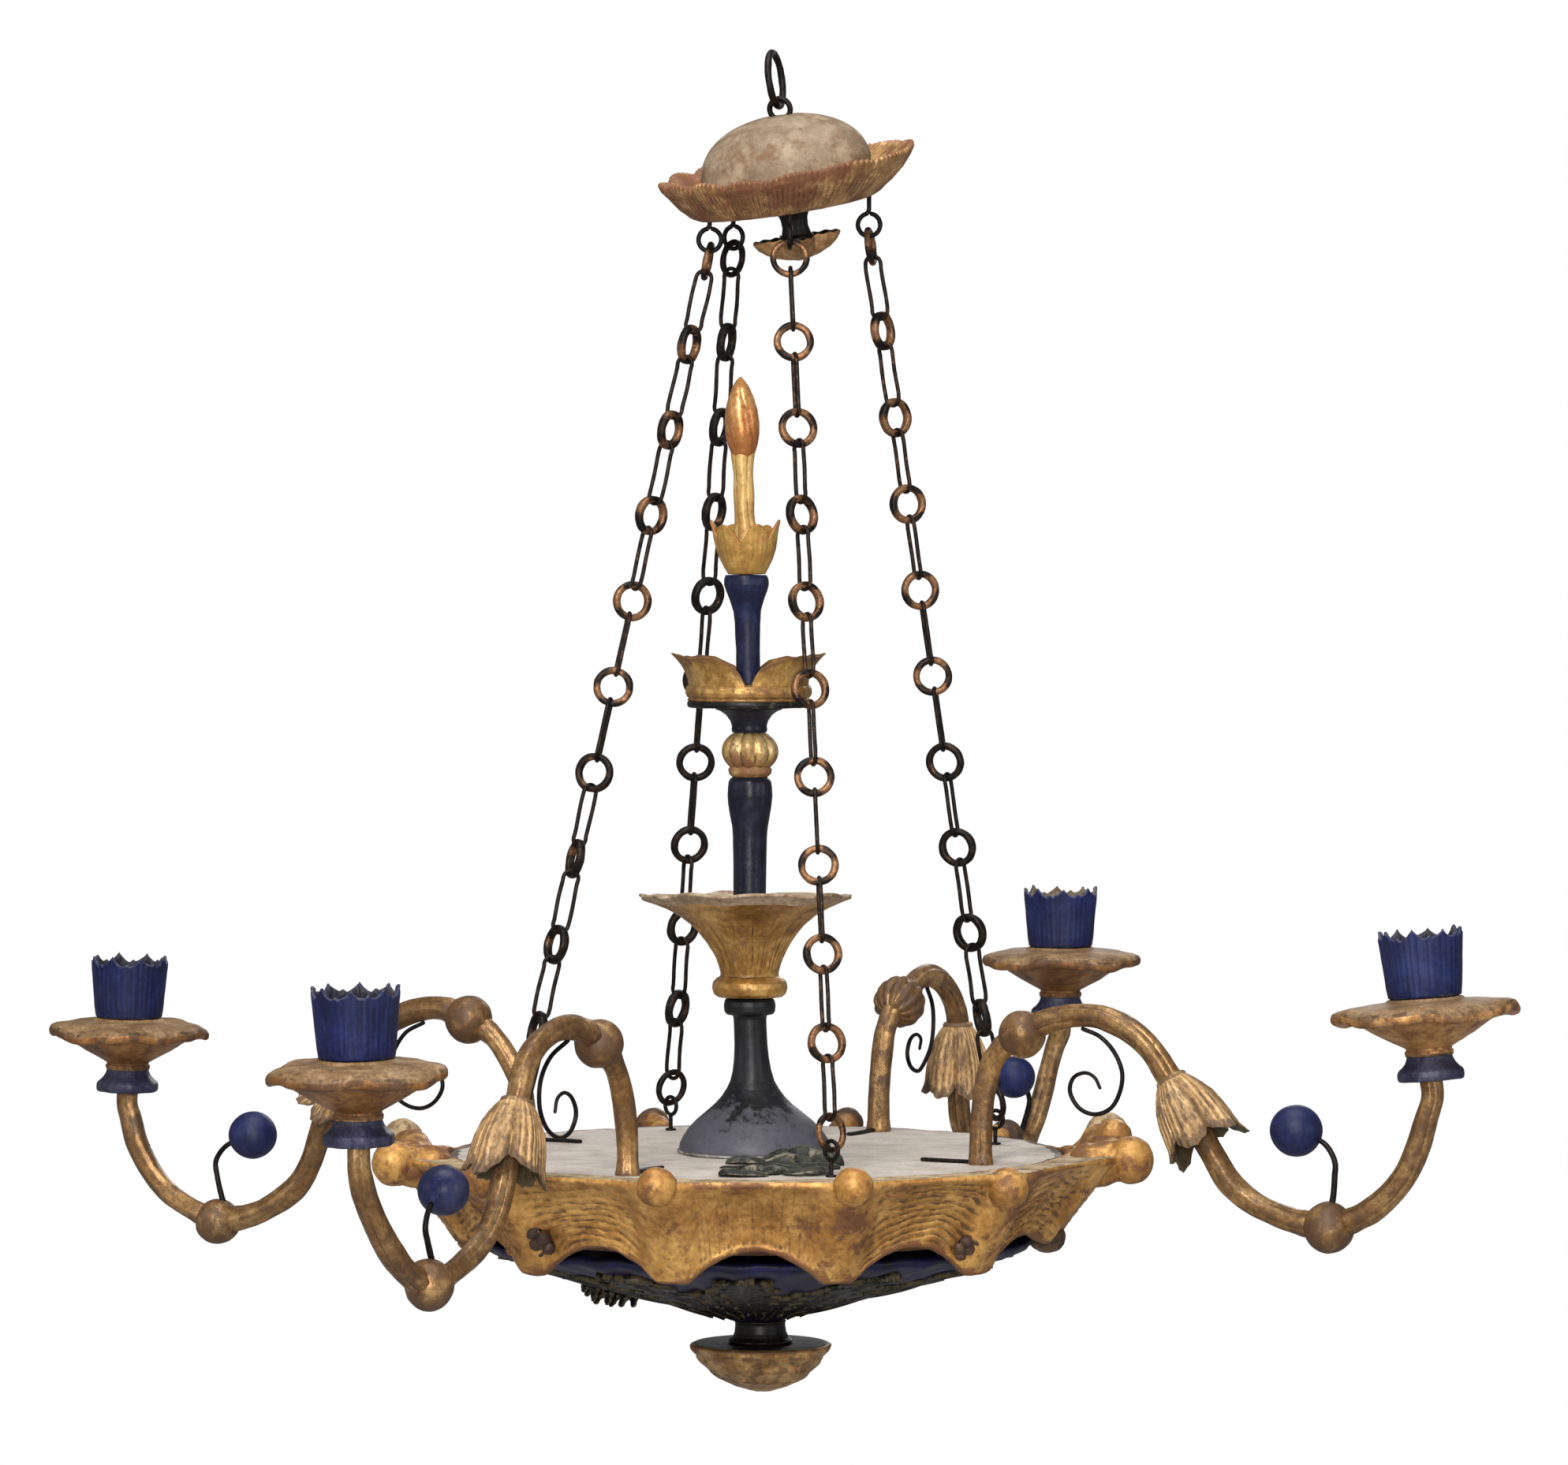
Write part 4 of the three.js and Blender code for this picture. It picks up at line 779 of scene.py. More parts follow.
# hooks: a stem out of the canopy, and a loop that nearly closes
canopy_inv = np.linalg.inv(M_CANOPY)
for k, (at, turn) in enumerate(HOOKS):
    under = apply(canopy_inv, apply(M_FRONT, at))
    lift = CANOPY_LOW - under[2]
    top = lift + 6.0
    a = np.linspace(math.radians(98), math.radians(98 + 338), 60)
    arc = np.stack([HOOK_R * np.cos(a), 0.6 * (a - a[0]) / (a[-1] - a[0]) - 0.2, HOOK_R + HOOK_R * np.sin(a)], 1)
    stem = np.array([(0, 0, z) for z in np.linspace(top, 2 * HOOK_R + 3.5, 10)])
    path = np.vstack([stem, [(-0.3, 0, 2 * HOOK_R + 1.6)], arc[1:]])
    s = np.concatenate([[0], np.cumsum(np.linalg.norm(np.diff(path, axis=0), axis=1))])
    u = np.linspace(0, s[-1], 110)
    path = np.stack([np.interp(u, s, path[:, c]) for c in range(3)], 1)
    p = rough_up(sweep(path, HOOK_WIRE + 0.18, 14), 0.15, 3, 30 + k)
    make(f"canopy_hook_{k + 1}_look", [moved(M_FRONT @ T(*at) @ R("z", math.radians(turn)), p)], IRON, "canopy", [f"canopy_hook_{k + 1}"])


# ------------------------------------------------------------------ chains
RI = LINK_RING_R - LINK_RING_WIRE
# tone of each ring, which brings up the gilt traces of the chain iron: partly real gilding, partly painted sheen on the
# rings that catch the light
GILT_AND_SHEEN = [
    [0.62, 0.60, 0.66, 0.60, 0.62, 0.50, 0.18, 0.14, 0.08, 0.04, 0.04],
    [0.05, 0.05, 0.10, 0.22, 0.12, 0.08, 0.10, 0.08, 0.05, 0.08, 0.12],
    [0.60, 0.52, 0.50, 0.56, 0.66, 0.52, 0.22, 0.28, 0.18, 0.08, 0.06],
    [0.58, 0.62, 0.60, 0.50, 0.62, 0.66, 0.52, 0.60, 0.58, 0.66, 0.62],
]


def chain_ring(turn, z, seed, tone, end=False):
    """A short, thick ring: taller along its bore than it is thick, but round where it hangs in an eye."""
    def sec(a, b):
        c, s = np.abs(np.cos(b)), np.abs(np.sin(b))
        e = 2.2 if end else 3.2
        return (1 / (c ** e + s ** e) ** (1 / e)) * (1 + 0.03 * np.sin(4 * a + seed))
    if end:
        p = torus(LINK_RING_R, LINK_RING_WIRE * 0.97, 56, 16, sec, tone=tone)
    else:
        p = torus(LINK_RING_R - 0.12, LINK_RING_WIRE + 0.22, 56, 16, sec, tone=tone, ax=1.22)
    a = np.arctan2(p["v"][:, 2], p["v"][:, 0])
    # brighter gilt towards the inner edge of each ring: painted highlight
    inward = np.clip((LINK_RING_R - np.hypot(p["v"][:, 0], p["v"][:, 2])) / 2.0, 0, 1)
    p["t"] = np.clip(tone + 0.22 * np.sin(3 * a + 2.1 * seed) + 0.25 * inward - 0.12, 0, 1)
    p = rough_up(p, 0.3, 4.5, 40 + seed)
    return moved(T(0, 0, z) @ R("z", math.radians(turn)) @ R("y", 0.9 * seed), p)


def chain_link(turn, z, span, seed, tone):
    """An oblong link bent from round wire, its sides a little uneven."""
    h = span / 2 - LINK_R
    a = np.linspace(0, math.pi, 15)
    top = np.stack([LINK_R * np.cos(a), 0 * a, h + LINK_R * np.sin(a)], 1)
    low = np.stack([-LINK_R * np.cos(a), 0 * a, -h - LINK_R * np.sin(a)], 1)
    side = np.linspace(h, -h, 13)[1:-1]
    left = np.stack([-LINK_R + 0.35 * np.sin(side * 0.16 + seed), 0 * side, side], 1)
    right = np.stack([LINK_R + 0.35 * np.sin(side * 0.13 + 2 * seed), 0 * side, side], 1)[::-1]
    p = sweep(np.vstack([top, left, low, right]), LINK_WIRE * 0.98, 12, closed=True, tone=tone)
    p = rough_up(p, 0.12, 3.5, 60 + seed)
    return moved(T(0, 0, z) @ R("z", math.radians(turn)), p)


for k, (at, hook_turn) in enumerate(HOOKS):
    top = np.array(at, float)
    er, et = EYELETS[k]
    foot = np.array([TRAY_X + er * math.cos(math.radians(et)), er * math.sin(math.radians(et)), EYELET_Z])
    length = np.linalg.norm(foot - top)
    loose = k != CARRIER
    foot_play, end_play = (2.2 if loose else GAP_MOVE), (-OVER if loose else GAP_MOVE)
    fixed = 2 * (RI - LINK_WIRE) - 2 * GAP_MOVE + 9 * (RI - LINK_WIRE + OVER) + (RI - LINK_WIRE - end_play) \
        + 9 * (RI - LINK_WIRE + OVER) + (RI - EYELET_WIRE - foot_play)
    span = (length - fixed) / 10
    d = (foot - top) / length
    q = Vector((0, 0, -1)).rotation_difference(Vector(d))
    m = np.eye(4)
    m[:3, :3] = np.array(q.to_matrix())
    M = M_FRONT @ T(*top) @ m
    turns, gilt_and_sheen = CHAIN_TURNS[k], GILT_AND_SHEEN[k]
    z = -(RI - HOOK_WIRE - GAP_MOVE)
    first, last, parts = None, None, []
    for i in range(11):
        p = moved(M, chain_ring(turns[i], z, 7 * k + i, gilt_and_sheen[i], i in (0, 10)))
        if i == 0:
            first = p
        elif i == 10 and not loose:
            last = p
        else:
            parts.append(p)
        if i == 10:
            break
        z -= RI - LINK_WIRE - (GAP_MOVE if i == 0 else -OVER) + span / 2
        parts.append(moved(M, chain_link((turns[i] + turns[i + 1]) / 2 + 90, z, span, 5 * k + i, 0.6 * (gilt_and_sheen[i] + gilt_and_sheen[i + 1]) / 2)))
        z -= span / 2 + RI - LINK_WIRE - (end_play if i == 9 else -OVER)
    make(f"chain_{k + 1}_ring_look", [first], CHAIN, f"top_ring_{k + 1}", [f"chain_{k + 1}_ring"])
    make(f"chain_{k + 1}_look", parts, CHAIN, f"chain_{k + 1}", [f"chain_{k + 1}"])
    if last:
        make(f"chain_{k + 1}_end_ring_look", [last], CHAIN, "end_ring", [f"chain_{k + 1}_end_ring"])
    # eyelet in the board
    a = np.linspace(math.radians(-82), math.radians(-82 - 336), 50)
    arc = np.stack([EYELET_R * np.cos(a), 0 * a, -EYELET_R + EYELET_R * np.sin(a)], 1)
    stem = np.array([(0, 0, zz) for zz in np.linspace(BOARD_TOP - 5 - EYELET_Z, -2 * EYELET_R - 2, 10)])
    path = np.vstack([stem, arc])
    s = np.concatenate([[0], np.cumsum(np.linalg.norm(np.diff(path, axis=0), axis=1))])
    u = np.linspace(0, s[-1], 90)
    path = np.stack([np.interp(u, s, path[:, c]) for c in range(3)], 1)
    p = rough_up(sweep(path, EYELET_WIRE, 12), 0.1, 3, 80 + k)
    collar_ = turned(fine([(0, BOARD_TOP - EYELET_Z + 0.1), (4.2, BOARD_TOP - EYELET_Z + 0.1), (3.6, BOARD_TOP - EYELET_Z + 1.4), (0, BOARD_TOP - EYELET_Z + 2.0)], 0.6, 0.4), 24)
    Me = T(*apply(M_FRONT, foot)) @ R("z", math.radians(turns[10] + 90) + FRONT)
    make(f"tray_eyelet_{k + 1}_look", [moved(Me, p), moved(Me, collar_)], IRON, "tray", [f"tray_eyelet_{k + 1}"])


# ------------------------------------------------------------------ tray
# board: dry planks under grey paint, with open joints and a chipped edge
def board_part():
    rr = np.concatenate([np.linspace(0, 205, 42), [209, 212, 214.5, 216.3, 217.3, BOARD_R]])
    A = np.arange(240) * 2 * math.pi / 240
    AA, RR = np.meshgrid(A, rr, indexing="ij")
    x, y = RR * np.cos(AA), RR * np.sin(AA)
    zt = np.full_like(x, BOARD_TOP - 0.25)
    p3 = np.stack([x, y, 0 * x], -1)
    zt = zt + 0.22 * fbm(p3, 40, 5)
    c, s = math.cos(0.9), math.sin(0.9)
    across = x * c + y * s
    for g in (-118, -31, 67, 142):
        zt = zt - 1.2 * np.exp(-((across - g + 1.5 * noise(p3, 30, 3)) / 1.1) ** 2)
    zt[:, -1] -= 1.2
    zt[:, -2] -= 0.5
    edge_tone = np.clip((RR - 210.5 - 2.5 * noise(p3, 14, 8)) / 3.5, 0, 1)
    zt = zt - 0.8 * edge_tone * np.clip(noise(p3, 9, 4) + 0.3, 0, 1)
    P = np.stack([x, y, zt], -1)
    under = np.stack([x[:, ::-1], y[:, ::-1], np.full_like(x, BOARD_TOP - BOARD_T + 0.2)], -1)
    return grid(np.concatenate([P, under], 1), loop_i=True, tone=np.concatenate([0.1 + 1.6 * edge_tone, edge_tone * 0 + 1.0], 1))


make("tray_board_look", [moved(M_TRAY, board_part())], BOARD, "tray", ["tray_board"])


# apron: twelve carved panels that sag like drapery between broad stippled ribs
def apron_part():
    seg, rows_out = 12 * 72, 56
    A = np.arange(seg) * 2 * math.pi / seg
    deg = np.degrees(A) % 30
    off = np.minimum(deg, 30 - deg)                       # degrees from the nearest rib's middle
    side = np.where(deg < 15, 1, -1)
    panel = np.floor(np.degrees(A) / 30).astype(int) % 12
    w = 1 / (1 + (off / 4.4) ** 4)                          # broad, rounded back of a rib
    mid = np.clip((off - 3) / 12, 0, 1)
    V = np.linspace(0, 1, rows_out)                        # down the outer face
    z_low = -840.0
    back = np.clip((np.sin(A + RIB_TURN - FRONT) - 0.08) / 0.16, 0, 1)
    back = back * back * (3 - 2 * back)                    # 1 where the rim falls away behind the board
    P = np.zeros((seg, rows_out, 3))
    ragged = 0.9 * fbm(np.stack([np.cos(A) * 230, np.sin(A) * 230, 0 * A], -1), 11, 17)
    for i in range(seg):
        arch = math.sin(math.pi / 2 * mid[i]) ** 1.15
        z_end = z_low + 16.5 * arch - 6.5 * w[i] + ragged[i] + 16.0 * math.exp(-((math.degrees(A[i]) - 210) / 5.0) ** 2) \
            + 16.0 * math.exp(-(((math.degrees(A[i]) + 180) % 360 - 180) / 5.0) ** 2)
        z_top = -774.4 - 12.0 * back[i]
        r0 = 252.5 - 1.5 * mid[i] + 9.5 * w[i]
        r1 = 215.0 - 0.5 * mid[i] + 3.5 * w[i]
        z = z_top + (z_end - z_top) * V
        face = np.clip((V - 0.07) / 0.93, 0, 1)
        r = r0 + (r1 - r0) * face ** 0.96
        r = r - (6.5 - 1.0 * mid[i]) * np.sin(math.pi * face) * (1 - 0.8 * w[i])
        r = r + 1.3 * np.exp(-((V - 0.045) / 0.035) ** 2) * (1 - w[i])
        r = r + 2.2 * np.exp(-((V - 0.985) / 0.05) ** 2) * (1 - w[i])      # rolled lower lip
        r = r + 1.6 * w[i] * np.sin(math.pi * V)
        P[i, :, 0], P[i, :, 2] = r, z
    r, z = P[..., 0].copy(), P[..., 2].copy()
    OFF, VV = np.meshgrid(off * side, V, indexing="ij")
    PAN = np.broadcast_to(panel[:, None], OFF.shape)
    W_ = np.broadcast_to(w[:, None], OFF.shape)
    x = (np.degrees(A) % 30)[:, None] / 30 * np.ones_like(VV)      # 0..1 across a panel
    open_ = (1 - W_) ** 1.5 * np.clip((VV - 0.06) / 0.10, 0, 1) * np.clip((0.99 - VV) / 0.07, 0, 1)
    base3 = np.stack([r * np.cos(A)[:, None], r * np.sin(A)[:, None], z], -1)
    # long folds that run across a panel and droop a little in the middle
    droop = 1.15 * np.sin(math.pi * x) * (0.35 + VV)
    fold = VV * 9.0 + droop + 0.9 * noise(base3, 34, 3) + 0.35 * noise(base3, 12, 5)
    ridges = 1 - 2 * np.abs((fold % 1.0) - 0.5) * 1.0
    ridges = ridges ** 1.3 - 0.45
    fine_ = np.sin(2 * math.pi * (fold * 3.1 + 0.6 * noise(base3, 16, 8)))
    carve = 1.9 * ridges + 0.34 * fine_
    plain = np.isin(PAN, [9])                                  # smooth panel with faint upright grain
    grain = 0.35 * np.sin(np.degrees(A)[:, None] * 7.5 + 2.0 * noise(base3, 30, 6)) + 0.18 * np.sin(np.degrees(A)[:, None] * 19)
    carve = np.where(plain, grain + 0.12 * ridges, carve)
    lumpy = np.isin(PAN, [7, 8])
    carve = np.where(lumpy, 0.55 * carve, carve)
    lumps = fbm(base3, 22, 12, 3) * np.where(lumpy, 4.6, 2.0) + np.where(lumpy, 1.2, 0.0) * np.abs(np.sin(x * 9 + VV * 7))
    rr = r + open_ * (carve + lumps)
    # stippled ribs with a soft vertical crease on either side
    on_rib = np.clip((W_ - 0.25) / 0.75, 0, 1)
    dots = np.sin(VV * 62 + 1.5 * np.sin(OFF * 2.2)) * np.sin(OFF * 4.2 + 1.2 * np.sin(VV * 20))
    rr = rr + on_rib * (0.55 * dots + 0.5 * fbm(base3, 7, 9)) * np.clip((VV - 0.22) / 0.12, 0, 1) * np.clip((1 - VV) / 0.04, 0, 1)
    rr = rr - 0.9 * np.exp(-((np.abs(OFF) - 5.4 - 0.8 * VV) / 0.9) ** 2) * np.clip((VV - 0.10) / 0.15, 0, 1)
    patch = np.clip(1.6 * fbm(base3, 40, 6, 3) + 0.05, 0, 1)
    tone = 0.28 * on_rib * np.clip(0.6 + fbm(base3, 9, 3), 0, 1) + 0.55 * patch
    # darker rubbed patch beside one knob, and along the lower rim
    spot = np.array([236 * math.cos(math.radians(30 * 11 + 6.5)), 236 * math.sin(math.radians(30 * 11 + 6.5)), -797.0])
    dist = np.linalg.norm(base3 - spot, axis=-1)
    tone = tone + 1.1 * np.exp(-(dist / 13) ** 2) + 0.35 * np.clip((VV - 0.9) / 0.1, 0, 1)
    outer = np.stack([rr * np.cos(A)[:, None], rr * np.sin(A)[:, None], z], -1)
    end_r, end_z = rr[:, -1], z[:, -1]

    def row(rad, zz):
        rad = rad * np.ones(seg)
        zz = zz * np.ones(seg)
        return np.stack([rad * np.cos(A), rad * np.sin(A), zz], -1)[:, None]
    lip = 250 - 1.5 * mid + 9 * w
    rim3 = np.stack([np.cos(A) * 240, np.sin(A) * 240, 0 * A], -1)
    wob = 0.7 * fbm(rim3, 18, 7)
    bite = -2.6 * np.clip(fbm(rim3, 15, 27) * 2.2 - 0.35, 0, 1)          # broken places along the inner edge
    head = [row(219.7, -790.1), row(219.7, -782), row(219.8, -777.0 + bite - 3.5 * back), row(220.4 - bite, -776.0 + bite - 4 * back), row(222.6 - bite, -775.2 + 0.4 * bite + wob - 4.5 * back),
            row(226, -774.9 + wob - 5.7 * back), row(232, -775.2 + 1.5 * wob - 7.6 * back), row(238, -774.9 + wob - 9.2 * back), row(244, -774.9 + wob - 10.8 * back), row(lip - 1.5, -774.1 + wob - 12 * back), row(lip + 1.0, -773.9 - 12 * back)]
    tail = [row(end_r - 1.2, end_z - 1.2), row(end_r - 3.5, end_z - 1.8), row(np.maximum(end_r - 8, 204.2), end_z - 0.4), row(np.maximum(end_r - 10, 203.4), end_z + 3),
            row(203.0, np.minimum(end_z + 7, -829)), row(204.2, -824), row(206.5, -808), row(208, -790.4), row(214, -790.3)]
    G = np.concatenate([*head, outer, *tail], 1)
    t = np.concatenate([np.full((seg, len(head)), 0.25), tone, np.full((seg, len(tail)), 0.9)], 1)
    t[:, :3] = 1.0
    p = grid(G, loop_i=True, loop_j=True, tone=t)
    nj = G.shape[1]
    first, last = 5, len(head)
    at_top = [first <= min(q % nj for q in f) and max(q % nj for q in f) <= last for f in p["f"]]
    body = {**p, "f": [f for f, h in zip(p["f"], at_top) if not h]}
    chalk = {**p, "f": [f for f, h in zip(p["f"], at_top) if h], "m": 3}
    return body, chalk


def rosette(size, at, out, petals, seed, tone=0.6):
    """A small carved flower: a domed middle inside a ring of petals."""
    p = globe(size, (0, 0, 0), 72, 28, squash=0.55, seed=seed, rough=0.05, tone=tone)
    v = p["v"]
    a = np.arctan2(v[:, 1], v[:, 0])
    d = np.hypot(v[:, 0], v[:, 1]) / size
    lob = np.abs(np.cos(petals * a / 2)) ** 0.6
    ring_ = np.clip((d - 0.42) / 0.12, 0, 1)
    v[:, 2] += np.where(v[:, 2] > -0.1, ring_ * (lob - 0.75) * size * 0.32 - size * 0.22 * np.exp(-((d - 0.44) / 0.09) ** 2), 0)
    v[:, :2] *= (1 + ring_ * 0.16 * (lob - 0.5))[:, None]
    p["v"] = v
    p = moved(turn_to(out), p)
    p["v"] = p["v"] + np.asarray(at, float)
    return p


parts = [rough_up(p, 0.3, 7, 31) for p in apron_part()]
for k, (turn, rad_, z, size) in enumerate(KNOBS):
    a = math.radians(30 * k + turn)
    at = np.array([rad_ * math.cos(a), rad_ * math.sin(a), z])
    axis = np.array([math.cos(a) * 0.8, math.sin(a) * 0.8, 0.25])
    parts.append(globe(size, at, 52, 30, flutes=(7 if k in (0, 7) else 0), depth=0.04, seed=k + 2, rough=(0.11 if k in (1, 6) else 0.07), axis=axis,
                       tone=0.15 + 0.25 * (k % 3 == 2), mat=(3 if k in (1, 6) else 2 if k in (2, 3, 4, 5) else 0)))
    d = np.array([math.cos(a), math.sin(a), 0])
    rear = k in (1, 6)
    inner = at - d * (size + (2 if rear else 13)) + np.array([0, 0, -15.0 if rear else -4.5])
    neck_path = np.array([inner + (at - inner) * t for t in np.linspace(0, 0.80 if rear else 0.86, 14)])
    big = k in (0, 7)
    widths = np.interp(np.linspace(0, 1, 14), [0, 0.5, 1], [size * (0.95 if big else 0.7), size * (0.92 if big else 0.78), size * 0.84])
    parts.append(rough_up(sweep(neck_path, widths, 36, section=lambda aa, ss: 1 + 0.05 * np.sin(5 * aa + ss / 4), tone=0.35), 0.7, 9, k))
# each end: the two lumps share one swollen neck
for k0, k1 in ((0, 1), (7, 6)):
    ends_ = []
    for k in (k0, k1):
        turn, rad_, z, size = KNOBS[k]
        a = math.radians(30 * k + turn)
        ends_.append(np.array([(rad_ - 6) * math.cos(a), (rad_ - 6) * math.sin(a), z - (2.0 if k == k0 else 5.0)]))
    mid_ = (ends_[0] + ends_[1]) / 2
    bridge = smooth_curve([tuple(ends_[0]), tuple(mid_ * np.array([0.975, 0.975, 1]) + np.array([0, 0, -1.0])), tuple(ends_[1])], 26)
    parts.append(rough_up(sweep(bridge, np.interp(np.linspace(0, 1, 26), [0, 0.5, 1], [13.5, 13.5, 12.5]), 40, section=lambda aa, ss: 1 + 0.08 * np.sin(4 * aa + ss / 6), tone=0.3), 1.1, 8, 150 + k0))
    # a ridge of rubbed wood from the board's edge out to the lump behind
    turn, rad_, z, size = KNOBS[k1]
    a = math.radians(30 * k1 + turn)
    ridge_ = [((222 + (rad_ - 226) * t) * math.cos(a), (222 + (rad_ - 226) * t) * math.sin(a), -789.5 + (z + 784.5) * t ** 5) for t in np.linspace(0, 1, 18)]
    parts.append(rough_up(sweep(np.array(ridge_), np.interp(np.linspace(0, 1, 18), [0, 0.6, 1], [7.5, 8.5, 13.5]), 40, section=lambda aa, ss: 1 + 0.07 * np.sin(5 * aa + ss / 5), tone=0.3, mat=3), 1.0, 8, 170 + k0))
a = math.radians(18)
parts.append(rough_up(globe(13.2, (255.5 * math.cos(a), 255.5 * math.sin(a), -768), 56, 34, seed=23, rough=0.10, tone=0.3), 1.0, 6, 161))
a = math.radians(1)
parts.append(rough_up(globe(13.4, (211.5 * math.cos(a), 211.5 * math.sin(a), -833), 52, 32, seed=21, rough=0.08, squash=0.82, tone=0.3, mat=2), 0.8, 6, 160))
for rib, turn, rad_, z, size, petals, tone, mat_ in [(10, 1.5, 220, -833, 9.0, 5, 0.25, 0), (11, -4.0, 221.5, -827, 10.5, 6, 0.3, 2), (11, 2.5, 224, -826, 8.0, 5, 0.3, 0), (8, 3.5, 224, -823, 12.5, 6, 0.3, 2),
                                                     (8, -3.5, 219, -832, 9.0, 5, 0.4, 0), (9, 0.3, 219, -833, 8.0, 5, 0.3, 0), (2, 0, 220, -831, 9.5, 6, 0.4, 0), (4, 1, 220, -831, 9.5, 6, 0.4, 2),
                                                     (7, 1, 213, -836, 8, 6, 0.4, 0), (1, 0, 221, -830, 10, 6, 0.4, 2)]:
    a = math.radians(30 * rib + turn)
    at = (rad_ * math.cos(a), rad_ * math.sin(a), z)
    flower_ = rosette(size, at, (math.cos(a), math.sin(a), -0.75), petals, rib, tone)
    flower_["m"] = mat_
    parts.append(flower_)
make("tray_apron_look", [moved(M_TRAY @ R("z", RIB_TURN), p) for p in parts], [GILT_RICH, LEAD, UMBER, CHALK], "tray", ["tray_apron"])


# bowl: blue shell, mostly hidden under dark carved leaves
bowl_line = fine([(19, -897.2), (30, -893.0), (40, -888.6), (52, -885.0), (81, -876.4), (121.5, -865.4), (146, -857.8), (170, -850.0), (189, -845.2), (196.4, -841.5), (197.6, -838)], 2.0, 4)
inside = [(197.0, -836.3), (189, -835.6), (170, -842), (120, -858.5), (60, -873.5), (21, -887), (9.5, -888.5), (9.5, -896.5)]
bowl_profile = np.vstack([bowl_line, fine(inside, 8, 1)])


def bowl_change(r, z, a, k):
    out = np.clip((0.72 - k) / 0.1, 0, 1)
    w = np.clip((r - 30) / 60, 0, 1)
    return r, z + out * w * 1.1 * np.cos(36 * a)


bowl = rough_up(turned(bowl_profile, 360, bowl_change, closed=True), 0.4, 12, 15)
length_ = np.concatenate([[0], np.cumsum(np.linalg.norm(np.diff(bowl_line, axis=0), axis=1))])


def bowl_leaf(a0, u0, u1, spread, seed, height=1.0):
    """A long acanthus-like leaf laid on the shell, its lobes cut in and lifted at the tips."""
    n_u, n_w = 110, 29
    U = np.linspace(0, 1, n_u)
    W = np.linspace(-1, 1, n_w)
    pos = np.stack([np.interp(length_[-1] * (u0 + (u1 - u0) * U), length_, bowl_line[:, c]) for c in (0, 1)], 1)
    n_l = 6
    ph = (U * n_l + 0.15 * seed) % 1.0
    cut = np.where(U < 0.95, 0.52 + 0.48 * np.clip(1.25 * ph, 0, 1) ** 0.6 * np.clip((1 - ph) * 5, 0, 1) ** 0.5, 0.4)
    half = np.radians(spread) * np.sin(math.pi * np.clip(U * 0.86 + 0.09, 0, 1)) ** 0.6 * cut
    top = np.zeros((n_u, n_w, 3))
    low = np.zeros((n_u, n_w, 3))
    tone = np.zeros((n_u, 2 * n_w))
    for i in range(n_u):
        r, z = pos[i]
        ang = a0 + 0.06 * math.sin(3 * U[i] + seed) + half[i] * W
        aw = np.abs(W)
        rib = 2.0 * np.exp(-(W / 0.12) ** 2) + 1.4 * np.abs(np.sin((aw * 3.0 - U[i] * n_l * 0.5 + 0.1 * seed) * math.pi)) ** 0.7 * (1 - aw * 0.3)
        curl = 1.8 * aw ** 2 * ph[i]
        lift = height * (0.9 + rib + curl + 2.4 * max(0.0, U[i] - 0.8) / 0.2)
        top[i] = np.stack([(r + 0.28 * lift) * np.cos(ang), (r + 0.28 * lift) * np.sin(ang), z - lift], -1)
        low[i] = np.stack([(r - 0.2) * np.cos(ang), (r - 0.2) * np.sin(ang), np.full(n_w, z + 1.2)], -1)
        tone[i, :n_w] = 0.15 + 0.3 * np.clip(rib / 3 - 0.45, 0, 1)
    G = np.concatenate([top, low[:, ::-1]], 1)
    p = grid(G, loop_j=True, mat=1, tone=tone)
    nj = 2 * n_w
    p["f"] += [[nj - 1 - t, nj - 2 - t, t + 1, t] for t in range(n_w - 1)]
    p["f"] += [[(n_u - 1) * nj + t, (n_u - 1) * nj + t + 1, (n_u - 1) * nj + nj - 2 - t, (n_u - 1) * nj + nj - 1 - t] for t in range(n_w - 1)]
    return p


leaves = []
for k in range(12):
    a0 = math.radians(30 * k + 13.5)
    leaves.append(bowl_leaf(a0 + math.radians(15), 0.10, 0.90, 12.5, k))
    leaves.append(bowl_leaf(a0, 0.07, 0.66, 10.0, k + 20, 0.8))
# splintered leaf tips that hang below the shell on the left
tips = []
for k, (fx, fy, L, tilt) in enumerate([(-118, -30, 9, 0.5), (-112, -38, 13, 0.9), (-108, -22, 15, 0.7), (-103, -44, 14, 1.0), (-98, -28, 16, 0.8), (-94, -16, 12, 0.2), (-90, -34, 13, 0.4), (-114, -12, 12, 0.3), (-86, -24, 10, 1.2),
                                       (-105, -8, 11, 0.6)]):
    px_, py_, _ = apply(M_FRONT, (fx, fy, 0))
    rad_, a = math.hypot(px_, py_), math.atan2(py_, px_)
    z0 = float(np.interp(rad_, bowl_line[:, 0], bowl_line[:, 1])) - 1.0
    start = np.array([px_, py_, z0])
    d = np.array([math.cos(a + tilt) * 0.55, math.sin(a + tilt) * 0.55, -0.75])
    path = np.array([start + d * L * t + np.array([0, 0, 1.2 * math.sin(3 * t + k)]) for t in np.linspace(0, 1, 12)])
    tips.append(sweep(path, np.linspace(4.0, 1.5, 12), 10, section=lambda aa, ss: 1 + 0.45 * np.cos(2 * aa) + 0.15 * np.sin(ss * 1.3), mat=1, tone=0.1))
make("tray_bowl_look", [moved(M_TRAY, p) for p in [bowl, *leaves, *tips]], [NAVY, LEAD], "tray", ["tray_bowl"])


